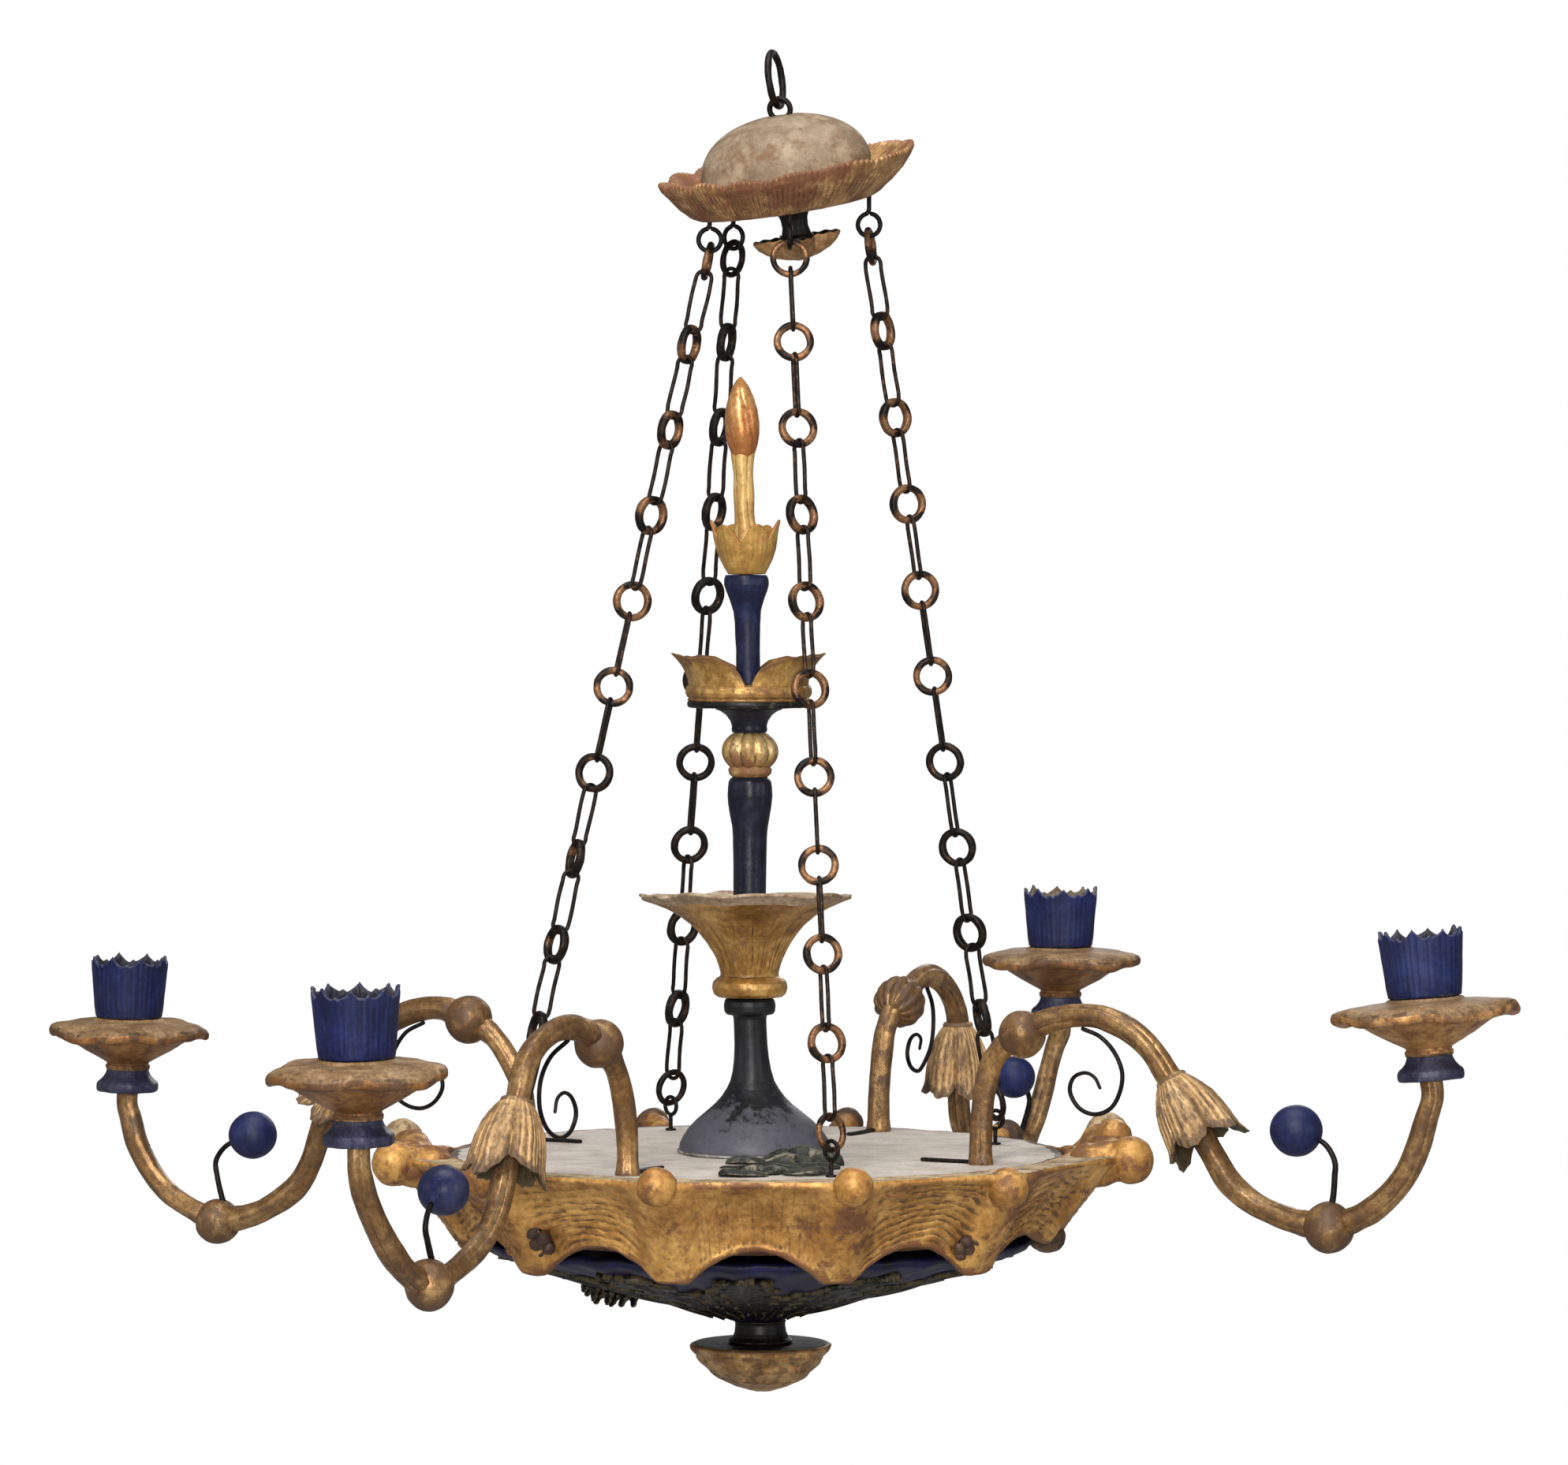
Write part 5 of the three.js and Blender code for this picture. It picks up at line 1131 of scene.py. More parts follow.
# bottom finial: black neck over a lobed, gilded cup
def finial_change(r, z, a, k):
    low = np.clip((-915 - z) / 5, 0, 1) * np.clip((r - 4) / 14, 0, 1)
    flow = np.sin((z + 916) * 0.62 + 2.2 * np.sin(2 * a + 0.6) + 0.9 * np.sin(5 * a))
    lob = np.abs(np.cos(2.5 * a + 0.4)) ** 0.7
    return r + low * (1.15 * flow + 2.1 * (lob - 0.75)), z + low * 0.4 * flow


fin = turned(fine([(0, -949), (8, -948), (18, -944.8), (30, -939.4), (39, -932), (46, -923.4), (49.8, -917.8), (50.6, -914.9), (47, -914.2), (20, -914)], 0.8, 1.2), 240, finial_change, tone=0.35)
fin2 = turned(fine([(0, -913.4), (22, -913.6), (23.5, -912), (20.0, -909.6), (18.4, -906), (17.8, -900), (18.6, -897.9), (0, -897.8)], 0.8, 0.6), 72, tone=0.1, mat=1)
fin_top = turned(fine([(0, -915.5), (46, -915.5), (47.8, -913.9), (21, -913.8), (0, -913.8)], 2.0, 0.5), 96, mat=1, tone=0.5)
make("bottom_finial_look", [moved(M_TRAY, leaning(p)) for p in (rough_up(fin, 0.4, 8, 3), rough_up(fin2, 0.2, 6, 4), fin_top)], [FIN_GILT, LEAD], "tray", ["bottom_finial"])

# ------------------------------------------------------------------ column
base = turned(fine([(0, -777.8), (52.6, -777.8), (54, -776.4), (54.2, -774.6), (53.3, -771), (51.5, -767.6), (47.3, -761), (41, -754.8), (34.2, -749.2), (27.6, -743.6),
                    (22.4, -738), (18.5, -732.4), (15.6, -726.8), (13.6, -719.5), (12.4, -711), (11.8, -701), (11.7, -695), (11.7, -682), (12.4, -680.2), (16.4, -679.6), (18, -677.6), (18.4, -673.4),
                    (17.8, -669.6), (16, -667.8), (0, -667.8)], 1.0, 0.8), 96)
base["t"] = 0.95 * np.clip((-722 - base["v"][:, 2]) / 34, 0, 1) + 0.15 * np.clip(fbm(base["v"], 20, 3), 0, 1)
foot_rim = turned(fine([(46, -777.9), (54.4, -777.9), (55.2, -776.8), (54.8, -775.9), (50, -775.4)], 0.7, 0.4), 160,
                  lambda r, z, a, k: (r + 0.5 * np.sin(9 * a) + 0.3 * np.cos(23 * a), z), tone=0.3, mat=1)
make("column_base_look", [moved(M_TRAY, leaning(rough_up(base, 0.3, 16, 6))), moved(M_TRAY, leaning(rough_up(foot_rim, 0.4, 4, 61)))], [SLATE, WORN_SLATE], "tray", ["column_base"])


def bowl_lean(z):
    return np.where(z > -638, -0.066 * (z + 638), 0)


def flower_shape(r, z, a, k):
    outer = np.clip((0.50 - k) / 0.05, 0, 1)
    body = np.clip((z + 650) / 8, 0, 1)
    flare = np.clip((r - 40) / 30, 0, 1)
    fl = np.abs(np.cos(8 * a + 0.25 * np.sin(3 * a))) ** 0.6
    rr = r + outer * body * (1.5 * (fl - 0.7) + 0.30 * np.cos(40 * a + 2 * np.sin(2 * a))) * (1 - 0.4 * flare)
    lob = np.cos(8 * a + 0.6) + 0.4 * np.cos(13 * a + 2)
    edge = flare ** 2
    front = -np.sin(a - FRONT)                                  # petals on the near side stand a little higher
    return rr + edge * (1.2 * np.cos(16 * a + 1) + 0.8 * lob), z + edge * (1.0 * lob - 0.2 + 4.8 * np.clip(front, -0.4, 1)) + outer * body * flare * 0.9 * (fl - 0.6)


flower = turned(fine([(7.4, -667.3), (22.5, -667.2), (25.6, -665), (26.9, -660.6), (26.2, -656.4), (23.4, -653.6), (20.8, -652.2), (20.7, -650), (21.6, -645), (23, -640), (25.8, -634.5),
                      (29.4, -628.5), (34.6, -621.6), (40.4, -615.4), (47.6, -609.8), (56, -605), (64, -601.2), (71, -598.2), (75, -596.6), (75.2, -595), (72, -594.6), (64, -597.4), (55, -601), (46, -606),
                      (38.5, -611.5), (32, -618), (26, -625.5), (20.5, -633), (17.5, -638.5), (7.4, -639.8)], 0.9, 0.9), 384, flower_shape, closed=True,
                tone=lambda r, z, a, k: np.where(k > 0.5, 0.25, 0.12 + 0.16 * (0.5 + 0.5 * np.sin(5 * a + 1)) + 0.14 * np.clip((r - 62) / 12, 0, 1)))
rows = len(flower["t"]) // 384
flower_faces = flower["f"]
lip = [f for f in flower_faces if min(i % rows for i in f) > 0.515 * rows]
face = [f for f in flower_faces if min(i % rows for i in f) <= 0.515 * rows]
flower = moved(M_TRAY, leaning(rough_up(flower, 0.25, 8, 9), bowl_lean))
make("flower_bowl_look", [{**flower, "f": face}, {**flower, "f": lip, "m": 1}], [GOLD, LIP], "tray", ["flower_bowl"])

shaft = turned(fine([(0, -639.4), (11.8, -639.4), (11.6, -628), (11.6, -600), (11.8, -570), (12.2, -553), (12.8, -546), (14.2, -538), (15.6, -530), (16.2, -524), (15.9, -518), (15.2, -513.6), (13.6, -511.4),
                      (9.6, -510), (0, -509.9)], 1.0, 1.0), 72,
               lambda r, z, a, k: (r * (1 + 0.05 * np.clip(1 - ((z + 524) / 14) ** 2, 0, 1) * (np.abs(np.cos(3 * a)) - 0.6)), z))
melon = globe(17.6, (0, 0, -492.5), 120, 40, flutes=11, depth=0.13, squash=0.88, seed=6, rough=0.02, mat=1, tone=0.2)
melon["v"][:, :2] *= 1.10
# the lower half rubs through to darker bole: wear, and painted shade under the knop
melon["t"] = np.clip(0.15 + (-492 - melon["v"][:, 2]) / 14, 0.1, 1.0)
spool = turned(fine([(0, -511), (12.5, -510.8), (15.0, -508.4), (15.6, -505.0), (13, -502.4), (0, -502)], 0.7, 0.5), 48, mat=1, tone=0.7)
spool2 = turned(fine([(0, -479.5), (12.2, -479), (12.8, -477), (12.4, -474.6), (13.4, -471), (16.4, -466.6), (20.4, -463.8), (23.8, -462.6), (23.8, -461.7), (0, -461.6)], 0.7, 0.7), 72)
make("column_shaft_look", [moved(M_TRAY, leaning(p)) for p in (rough_up(shaft, 0.3, 14, 2), melon, spool, spool2)], [SHAFT, MELON], "tray", ["column_shaft"])


# leaf plate: round plate with a beaded band, and four upright leaves with gaps between
def plate_parts():
    out = [turned(fine([(0, -461.3), (42, -461.3), (43.6, -460.6), (44.0, -458.6), (43.4, -456.6), (0, -456.4)], 0.9, 0.5), 144, tone=0.3, mat=1),
           turned(fine([(0, -456.8), (42.4, -456.8), (43.4, -455.4), (42.2, -454.4), (43.6, -453.4), (44.6, -451), (44.4, -447.6), (43.2, -445.6), (36, -445.2), (0, -445.2)], 0.8, 0.6), 144,
                  lambda r, z, a, k: (r + 0.4 * np.cos(24 * a) * np.clip((r - 40) / 3, 0, 1), z), tone=0.3)]
    for q in range(2):
        c = FRONT + q * math.pi
        n_u, n_w = 34, 101
        W = np.linspace(-1, 1, n_w)
        top = np.zeros((n_u, n_w, 3))
        low = np.zeros((n_u, n_w, 3))
        for i, u in enumerate(np.linspace(0, 1, n_u)):
            half = math.radians(87.5) * (1 - 0.10 * u ** 1.5)
            aw = np.abs(W)
            peak = 1 - 0.10 * aw ** 1.2 - 0.30 * np.clip((aw - 0.62) / 0.38, 0, 1) ** 2.2 - 0.035 * np.abs(np.sin(W * 14 + q)) + 0.05 * np.exp(-(W / 0.10) ** 2)
            h = u * peak
            tip = np.exp(-(W / 0.16) ** 2)
            ribs = np.abs(np.sin(W * 13)) ** 0.6 - 0.6
            r = 42.5 + 1.2 * h + (5.5 + 5.5 * tip) * h ** 2.2 + 1.1 * ribs * (0.35 + 0.65 * u) * np.clip(1.1 - aw, 0, 1)
            z = -447.5 + 23.6 * h ** 0.95 + 0.6 * np.sin(W * 9 + q) * u
            ang = c + half * W
            top[i] = np.stack([r * np.cos(ang), r * np.sin(ang), z], -1)
            th = 3.4 - 1.7 * u
            low[i] = np.stack([(r - th) * np.cos(ang), (r - th) * np.sin(ang), z + 0.4 * u], -1)
        G = np.concatenate([top, low[:, ::-1]], 1)
        T_ = np.broadcast_to(np.linspace(0, 1, n_u)[:, None] ** 4 * 0.8, (n_u, 2 * n_w))
        p = grid(G, loop_j=True, tone=0.15 + T_)
        nj = 2 * n_w
        p["f"] += [[nj - 1 - t, nj - 2 - t, t + 1, t] for t in range(n_w - 1)]
        p["f"] += [[(n_u - 1) * nj + t, (n_u - 1) * nj + t + 1, (n_u - 1) * nj + nj - 2 - t, (n_u - 1) * nj + nj - 1 - t] for t in range(n_w - 1)]
        out.append(p)
    return out


make("leaf_plate_look", [moved(M_TRAY, leaning(rough_up(p, 0.3, 5, 13))) for p in plate_parts()], [GOLD, LEAD], "tray", ["leaf_plate"])

upper = turned(fine([(0, -445.4), (8.9, -445.4), (8.5, -434), (8.6, -420), (9.0, -402), (9.8, -393), (12, -385), (14.6, -378.6), (15.8, -374), (15.6, -370), (14.6, -367.2), (0, -366.9)], 1.0, 0.7), 60,
               lambda r, z, a, k: (r * (1 + 0.07 * np.clip((z + 400) / 24, 0, 1) * (np.abs(np.cos(2.5 * a)) - 0.6)), z))
make("upper_shaft_look", [moved(M_TRAY, leaning(rough_up(upper, 0.3, 10, 7)))], UPPER_BLUE, "tray", ["upper_shaft"])


def flame_parts():
    out = []
    # dripped stem
    stem = turned(fine([(0, -367), (11, -366.8), (13, -362), (12, -354), (9.6, -349), (8.4, -344), (7.6, -334), (7.0, -318), (7.0, -300), (7.4, -290), (8.0, -281), (0, -280.5)], 0.9, 0.9), 96,
                  lambda r, z, a, k: (r * (1 + 0.15 * (np.abs(np.cos(2.5 * a + 0.3 * np.sin(z / 13))) ** 0.7 - 0.6) * np.clip((z + 352) / 10, 0, 1)) + 0.35 * np.sin(z / 5 + 2 * a), z), tone=0.1)
    out.append({**stem, "m": 1})
    # tulip of six petals grown together below
    seg, rows_ = 240, 46
    A = np.arange(seg) * 2 * math.pi / seg
    ph = (A * 6 / (2 * math.pi) + 0.18) % 1.0
    lobe = np.sin(math.pi * ph) ** 0.8
    crest = -343 + 12.5 * lobe ** 1.3 + 2.2 * np.sin(2 * A + 1.0)
    G = []
    for t in np.linspace(0, 1, rows_):
        z = -366.6 + (crest + 366.6) * t
        r = np.interp(z, [-366.6, -362, -356, -349, -342, -335, -328], [13.2, 15.8, 18.6, 20.9, 22.0, 22.6, 23.6])
        r = r + (0.9 * (lobe - 0.6) + 0.12 * np.cos(36 * A)) * min(1, 3 * t) + 1.4 * lobe * t ** 4
        G.append(np.stack([r * np.cos(A), r * np.sin(A), z], -1))
    for t in np.linspace(1, 0.25, 26):
        z = -366.6 + (crest + 366.6) * t
        r = np.interp(z, [-366.6, -362, -356, -349, -342, -335, -328], [11.0, 13.5, 16.2, 18.6, 19.9, 20.8, 22.4])
        r = r + 0.9 * (lobe - 0.6) * t + 1.4 * lobe * t ** 4
        G.append(np.stack([r * np.cos(A), r * np.sin(A), z + 0.25], -1))
    G.append(np.stack([6 * np.cos(A), 6 * np.sin(A), np.full(seg, -358.0)], -1))
    cup_ = grid(np.stack(G, 1), loop_i=True, tone=0.15, mat=2)
    floor_ = [i * (rows_ + 27) for i in range(seg)]
    cup_["f"] += [floor_[::-1]]
    out.append(cup_)
    bud_ = turned(fine([(0, -284), (7.2, -283.6), (8.6, -280.6), (10.6, -274), (11.8, -267), (12.1, -259), (11.4, -250), (9.4, -241.5), (6.4, -234), (3.4, -229.4), (1, -226.9), (0, -226.6)], 0.8, 1.2), 96,
                   lambda r, z, a, k: (r * (1 + 0.10 * (np.abs(np.cos(2 * a + (z + 250) / 22)) ** 0.6 - 0.65) * np.clip((z + 283) / 12, 0, 1)), z), tone=0.0)
    out.append({**bud_, "m": 0})
    return out


make("flame_bud_look", [moved(M_TRAY, leaning(rough_up(p, 0.2, 8, 19))) for p in flame_parts()], [FLAME, PALE, TULIP], "tray", ["flame_bud"])


# ------------------------------------------------------------------ arms
def husk_parts(seed):
    """A bell carved as a ring of ribbed leaves, with a ragged mouth and a dark inside."""
    seg, rows_ = 216, 62
    A = np.arange(seg) * 2 * math.pi / seg
    n_leaf = 6
    ph = (A * n_leaf / (2 * math.pi) + 0.13 * seed + 0.10 * np.sin(2 * A + seed)) % 1.0
    mid = np.abs(ph - 0.5) * 2                               # 0 on a leaf's middle, 1 between leaves
    tall = 0.95 + 0.05 * np.sin(2 * A + 1.7 * seed) + 0.05 * np.sin(3 * A + seed)
    end = HUSK_LONG * tall * (1.0 - 0.17 * mid ** 1.8) - 1.4 * np.abs(np.sin(11 * A + seed)) + 1.5
    out_u = [0, 0.05, 0.12, 0.22, 0.36, 0.52, 0.70, 0.86, 1.0, 1.1]
    out_r = [9.6, 10.8, 13.6, 16.6, 19.8, 22.4, 24.0, 25.2, 27.0, 28.6]
    G, tone = [], []
    for t in np.linspace(0, 1, rows_):
        z = 0.4 + (end - 0.4) * t
        u = z / HUSK_LONG
        r = np.interp(u, out_u, out_r)
        valley = 2.6 * mid ** 5 * np.clip(t * 4, 0, 1) * (0.5 + 0.7 * t)
        keel = 1.7 * np.exp(-(mid / 0.20) ** 2) * np.clip(t * 3, 0, 1)
        lines = 0.60 * np.cos(mid * 15.5 + 0.4 * np.sin(5 * t + seed)) * np.clip(t * 3, 0, 1)
        r = r - valley + keel * (1 - 0.3 * t) + lines + 2.2 * np.clip(t - 0.86, 0, 1) / 0.14 * (1 - mid) * 0.8
        G.append(np.stack([r * np.cos(A), r * np.sin(A), z + 0 * A], -1))
        tone.append(0.10 + 1.1 * max(0.0, t - 0.84) / 0.16 + 0.25 * mid ** 4)
    for t in np.linspace(1, 0.12, 26):
        z = 0.4 + (end - 0.4) * t
        u = z / HUSK_LONG
        r = np.interp(u, out_u, out_r) - 2.2 - 0.8 * (1 - t) - 2.6 * mid ** 5 * 0.6 * t + 2.2 * np.clip(t - 0.86, 0, 1) / 0.14 * (1 - mid) * 0.8
        G.append(np.stack([np.maximum(r, 7.4) * np.cos(A), np.maximum(r, 7.4) * np.sin(A), z - 0.3 + 0 * A], -1))
        tone.append(1.0 + 0 * A)
    G, tone = np.stack(G, 1), np.stack(tone, 1)
    p = grid(G, loop_i=True, loop_j=True, tone=tone)
    nj = G.shape[1]
    shell = [f for f in p["f"] if not (min(i % nj for i in f) >= rows_ - 1 and max(i % nj for i in f) > rows_ - 1)]
    lining = [f for f in p["f"] if (min(i % nj for i in f) >= rows_ - 1 and max(i % nj for i in f) > rows_ - 1)]
    plug = turned(fine([(6.6, 6), (9.6, 8), (15, 24), (18.5, 36), (14, 37), (6.6, 22)], 2.0, 1.0), 48, closed=True, tone=0.9, mat=1)
    band = turned(fine([(6.5, 0.3), (10.0, 0.2), (11.3, 1.8), (11.3, 3.6), (10.2, 5.2), (6.5, 6)], 0.6, 0.8), 40, closed=True, tone=0.5)
    return [{**p, "f": shell}, {**p, "f": lining, "m": 1}, plug, band]


def cup_part():
    """Crown-shaped candle cup: eight pointed teeth with a small nick in each hollow."""
    seg = 384
    A = np.arange(seg) * 2 * math.pi / seg
    u = (A * 8 / (2 * math.pi)) % 1.0
    dip = np.sin(math.pi * u) ** 0.75
    crest = 46.6 - 6.6 * dip + 2.0 * np.exp(-((u - 0.5) / 0.075) ** 2)
    crest = crest - 0.9 * np.abs(np.sin(3 * A + 1)) + 0.5 * np.sin(11 * A)
    rows = []
    tones = []

    def ring_(r, z, t):
        rows.append(np.stack([r * np.cos(A), r * np.sin(A), z * np.ones(seg)], -1))
        tones.append(np.full(seg, t))
    rows.append(np.stack([0 * A, 0 * A, 0.4 + 0 * A], -1))
    tones.append(np.full(seg, 0.0))
    for r in (8, 16, 22):
        ring_(r, 0.4, 0.0)
    ring_(23.9, 0.4, 0.3)
    ring_(24.7, 0.9, 0.3)
    facet = 0.75 * np.abs(np.sin(4 * A)) ** 0.7 + 0.16 * np.cos(40 * A + np.sin(3 * A)) - 0.3
    for t in np.linspace(0.03, 1, 34):
        z = 0.9 + (crest - 0.9) * t
        r = 24.7 + (z / 46) * 3.6 + facet * min(1, 6 * t) + 0.5 * (z / 46) ** 3
        ring_(r, z, 0.10 + 0.22 * max(0, (t - 0.92) / 0.08) + 0.25 * max(0, (0.10 - t) / 0.10))
    z = crest + 0.35
    ring_(24.7 + (z / 46) * 3.6 - 0.3, z, 0.45)
    ring_(24.7 + (z / 46) * 3.6 - 1.2, z + 0.1, 0.8)
    ring_(24.7 + (z / 46) * 3.6 - 2.0, z - 0.5, 1.0)
    for t in np.linspace(1, 0.16, 16):
        z = (crest - 1) * t
        ring_(22.0 + (z / 46) * 3.6, np.maximum(z, 6.3), 0.9)
    for r in (20, 14, 7):
        ring_(r, 6.2, 1.0)
    rows.append(np.stack([0 * A, 0 * A, 6.2 + 0 * A], -1))
    tones.append(np.full(seg, 1.0))
    G = np.stack(rows, 1)
    n_out = 6 + 34 + 1
    p = grid(G, loop_i=True, tone=np.stack(tones, 1))
    p["f_split"] = n_out
    nj = G.shape[1]
    p["inner"] = [k for k, f in enumerate(p["f"]) if min(i % nj for i in f) >= n_out]
    return p


def split_inner(p):
    inner = set(p["inner"])
    a = {"v": p["v"], "t": p["t"], "m": 0, "f": [f for k, f in enumerate(p["f"]) if k not in inner]}
    b = {"v": p["v"], "t": p["t"] * 0.3, "m": 1, "f": [f for k, f in enumerate(p["f"]) if k in inner]}
    return [a, b]


for i, arm in enumerate(ARMS):
    n = i + 1
    M = M_TRAY @ R("z", i * math.pi / 2)
    h0 = np.array([arm["husk"][0][0], 0, arm["husk"][0][1]], float)
    h1 = np.array([arm["husk"][1][0], 0, arm["husk"][1][1]], float)
    along = (h1 - h0) / np.linalg.norm(h1 - h0)
    M_SEAT = M @ T(arm["cup"][0], 0, arm["cup"][1]) @ R("y", math.radians(arm["tilt"]))
    seat_local = T(arm["cup"][0], 0, arm["cup"][1]) @ R("y", math.radians(arm["tilt"]))

    def flutes(a, s, seed=i):
        ridge = np.abs(np.cos(2 * a + 0.35 * np.sin(s / 45 + seed) + 0.5)) ** 0.8
        small = np.abs(np.cos(4.5 * a - 0.5 * np.sin(s / 30 + seed)))
        return 1 + 0.17 * (ridge - 0.62) + 0.07 * (small - 0.6) + 0.03 * np.sin(s / 9 + seed)

    # inner length with its knop and foot
    pts = list(arm["inner"]) + [(h0 + along * 3)[[0, 2]].tolist(), (h0 + along * 14)[[0, 2]].tolist()]
    path = smooth_curve(pts, 150)
    kx, kz, kr = arm["knop"]
    near = np.exp(-((np.hypot(path[:, 0] - kx, path[:, 2] - kz) - kr) / 5.0) ** 2)
    rad_ = ARM_R * 1.05 * (1 + 0.10 * near) * (1 + 0.03 * np.sin(np.linspace(0, 9, len(path)) + i))
    rad_[:6] *= np.linspace(1.12, 1.0, 6)
    tube = rough_up(sweep(path, rad_, 44, flutes, tone=0.2), 0.4, 12, 50 + i)
    melon_knop = i == 1
    t_at = path[np.argmin(np.hypot(path[:, 0] - kx, path[:, 2] - kz))]
    k_ = int(np.argmin(np.hypot(path[:, 0] - kx, path[:, 2] - kz)))
    axis = path[min(k_ + 3, len(path) - 1)] - path[max(k_ - 3, 0)]
    ball = globe(kr, (kx, 0, kz), 64, 40, flutes=(13 if melon_knop else 0), depth=(0.15 if melon_knop else 0), squash=0.97, seed=10 + i, rough=0.06, axis=axis, tone=0.45)
    foot_r = arm["inner"][0][0]
    tang = np.array([(foot_r - 4, 0, BOARD_TOP + 1.35), (foot_r - 16, 0.6, BOARD_TOP + 1.2), (foot_r - 30, -0.4, BOARD_TOP + 1.3), (foot_r - 46, 0.5, BOARD_TOP + 1.2)])
    tang = sweep(smooth_curve([tuple(q) for q in tang], 30), 1.25, 10, section=lambda a, s: 1 + 0.9 * np.abs(np.sin(a)) ** 2, mat=1)
    shoe = turned(fine([(0, BOARD_TOP + 0.2), (8.6, BOARD_TOP + 0.2), (8.8, BOARD_TOP + 1.6), (7.6, BOARD_TOP + 4), (0, BOARD_TOP + 5)], 0.8, 0.6), 32, tone=0.8)
    shoe["v"][:, 0] += foot_r
    make(f"arm_{n}_inner_look", [moved(M, p) for p in (tube, ball, tang, shoe)], [GILT, IRON], "tray", [f"arm_{n}_inner"])

    # husk
    hm = M @ T(*h0) @ turn_to(along)
    make(f"arm_{n}_husk_look", [moved(hm, rough_up(p, 0.35, 6, 70 + i)) for p in husk_parts(i + 1)], [HUSK, LEAD], "tray", [f"arm_{n}_husk"])

    # outer length with its low knop
    def seat_point(z):
        q = apply(seat_local, (0, 0, z))
        return (q[0], q[2])
    pts = [(h0 + along * 16)[[0, 2]].tolist(), (h0 + along * 30)[[0, 2]].tolist(), *arm["outer"], seat_point(-66), seat_point(-56.5)]
    path = smooth_curve(pts, 170)
    lx, lz, lr = arm["low"]
    near = np.exp(-((np.hypot(path[:, 0] - lx, path[:, 2] - lz) - lr) / 5.0) ** 2)
    rad_ = ARM_R * 1.05 * (1 + 0.10 * near) * (1 + 0.03 * np.sin(np.linspace(0, 11, len(path)) + 2 * i))
    tube = rough_up(sweep(path, rad_, 44, flutes, tone=0.2), 0.4, 12, 55 + i)
    k_ = int(np.argmin(np.hypot(path[:, 0] - lx, path[:, 2] - lz)))
    axis = path[min(k_ + 3, len(path) - 1)] - path[max(k_ - 3, 0)]
    ball = globe(lr, (lx, 0, lz), 56, 34, squash=0.97, seed=15 + i, rough=0.07, axis=axis, tone=0.5)
    # the lower half rubs through to darker bole: wear, and painted shade under the ball
    ball["t"] = np.clip(0.35 + 0.9 * fbm(ball["v"], 16, 60 + i) + 0.4 * np.clip((lz - ball["v"][:, 2]) / lr, 0, 1), 0, 1)
    make(f"arm_{n}_outer_look", [moved(M, p) for p in (tube, ball)], GILT, "tray", [f"arm_{n}_outer"])

    # drip pan and collar
    P_ = arm["pan"]

    def pan_shape(r, z, a, k, P_=P_, i=i):
        edge = np.clip((r - 38) / (P_ - 38), 0, 1) ** 1.5
        under = np.clip((0.50 - k) / 0.05, 0, 1)
        wave = np.cos(5 * a + i) + 0.6 * np.cos(3 * a + 2 * i) + 0.35 * np.cos(11 * a)
        lob = np.abs(np.sin(6.5 * a + 0.5 * i)) ** 0.55
        body = np.clip((r - 15.5) / 7, 0, 1) * np.clip((P_ - 6 - r) / 12, 0, 1)
        nick = np.abs(np.sin(13 * a + 3 * np.sin(2 * a + i))) ** 0.5
        rr = r + edge * (1.0 * np.cos(7 * a + 2 * i) + 0.5 * np.cos(17 * a) - 0.8 * (1 - nick)) + under * body * 2.3 * (lob - 0.62)
        return rr, z + edge * 1.7 * wave + under * body * 1.0 * (lob - 0.6)

    pan_line = fine([(4.6, -38.8), (15.0, -38.8), (16.4, -37.8), (16.6, -36.2), (15.4, -35.0), (15.6, -33.8), (19.5, -31.6), (25, -28.6), (31, -25.4), (37, -21.6), (42, -18.2), (46.5, -15.9), (P_ - 7, -14.9), (P_ - 2.2, -15.2),
                     (P_ - 0.5, -13.4), (P_ - 0.2, -10.4), (P_ - 1.6, -7.6), (P_ - 6, -5.4), (P_ - 14, -3.8), (41, -2.9), (27, -2.0), (25, -0.2), (4.6, -0.2)], 0.9, 0.8)
    n_line = len(pan_line)
    r_line = pan_line[:, 0]
    tip = int(np.argmax(r_line))
    pan = turned(pan_line, 288, pan_shape, closed=True,
                 tone=lambda r, z, a, k: np.clip(0.14 + 0.30 * np.clip((r - P_ + 3) / 3, 0, 1) + 0.35 * np.clip(np.sin(6.5 * a + 0.5 * i) ** 2 * (k < 0.5) - 0.6, 0, 1), 0, 1))
    pan_over = [f for f in pan["f"] if tip + 2 <= min(q % n_line for q in f) and max(q % n_line for q in f) < n_line - 1 + 1 and not (0 in [q % n_line for q in f])]
    over = set(map(tuple, pan_over))
    pan_under = [f for f in pan["f"] if tuple(f) not in over]
    pan = moved(M_SEAT, rough_up(pan, 0.35, 9, 90 + i))
    collar = turned(fine([(4.6, -55.8), (21.4, -55.8), (22.5, -54.8), (22.9, -52.4), (22.7, -49.6), (21.6, -48.0), (19.2, -46.2), (17.2, -43.8), (16.0, -41.2), (15.6, -39.4), (14.8, -38.4), (4.6, -38.4)], 0.7, 0.7), 120,
                    lambda r, z, a, k: (r + (0.55 * np.cos(8 * a) + 0.25 * np.cos(5 * a + i)) * np.clip((r - 14) / 4, 0, 1), z), closed=True, mat=1, tone=0.15)
    band = turned(fine([(12, -39.3), (15.9, -39.3), (16.5, -38.4), (15.9, -37.5), (12, -37.5)], 0.5, 0.5), 64, closed=True, mat=2, tone=0.2)
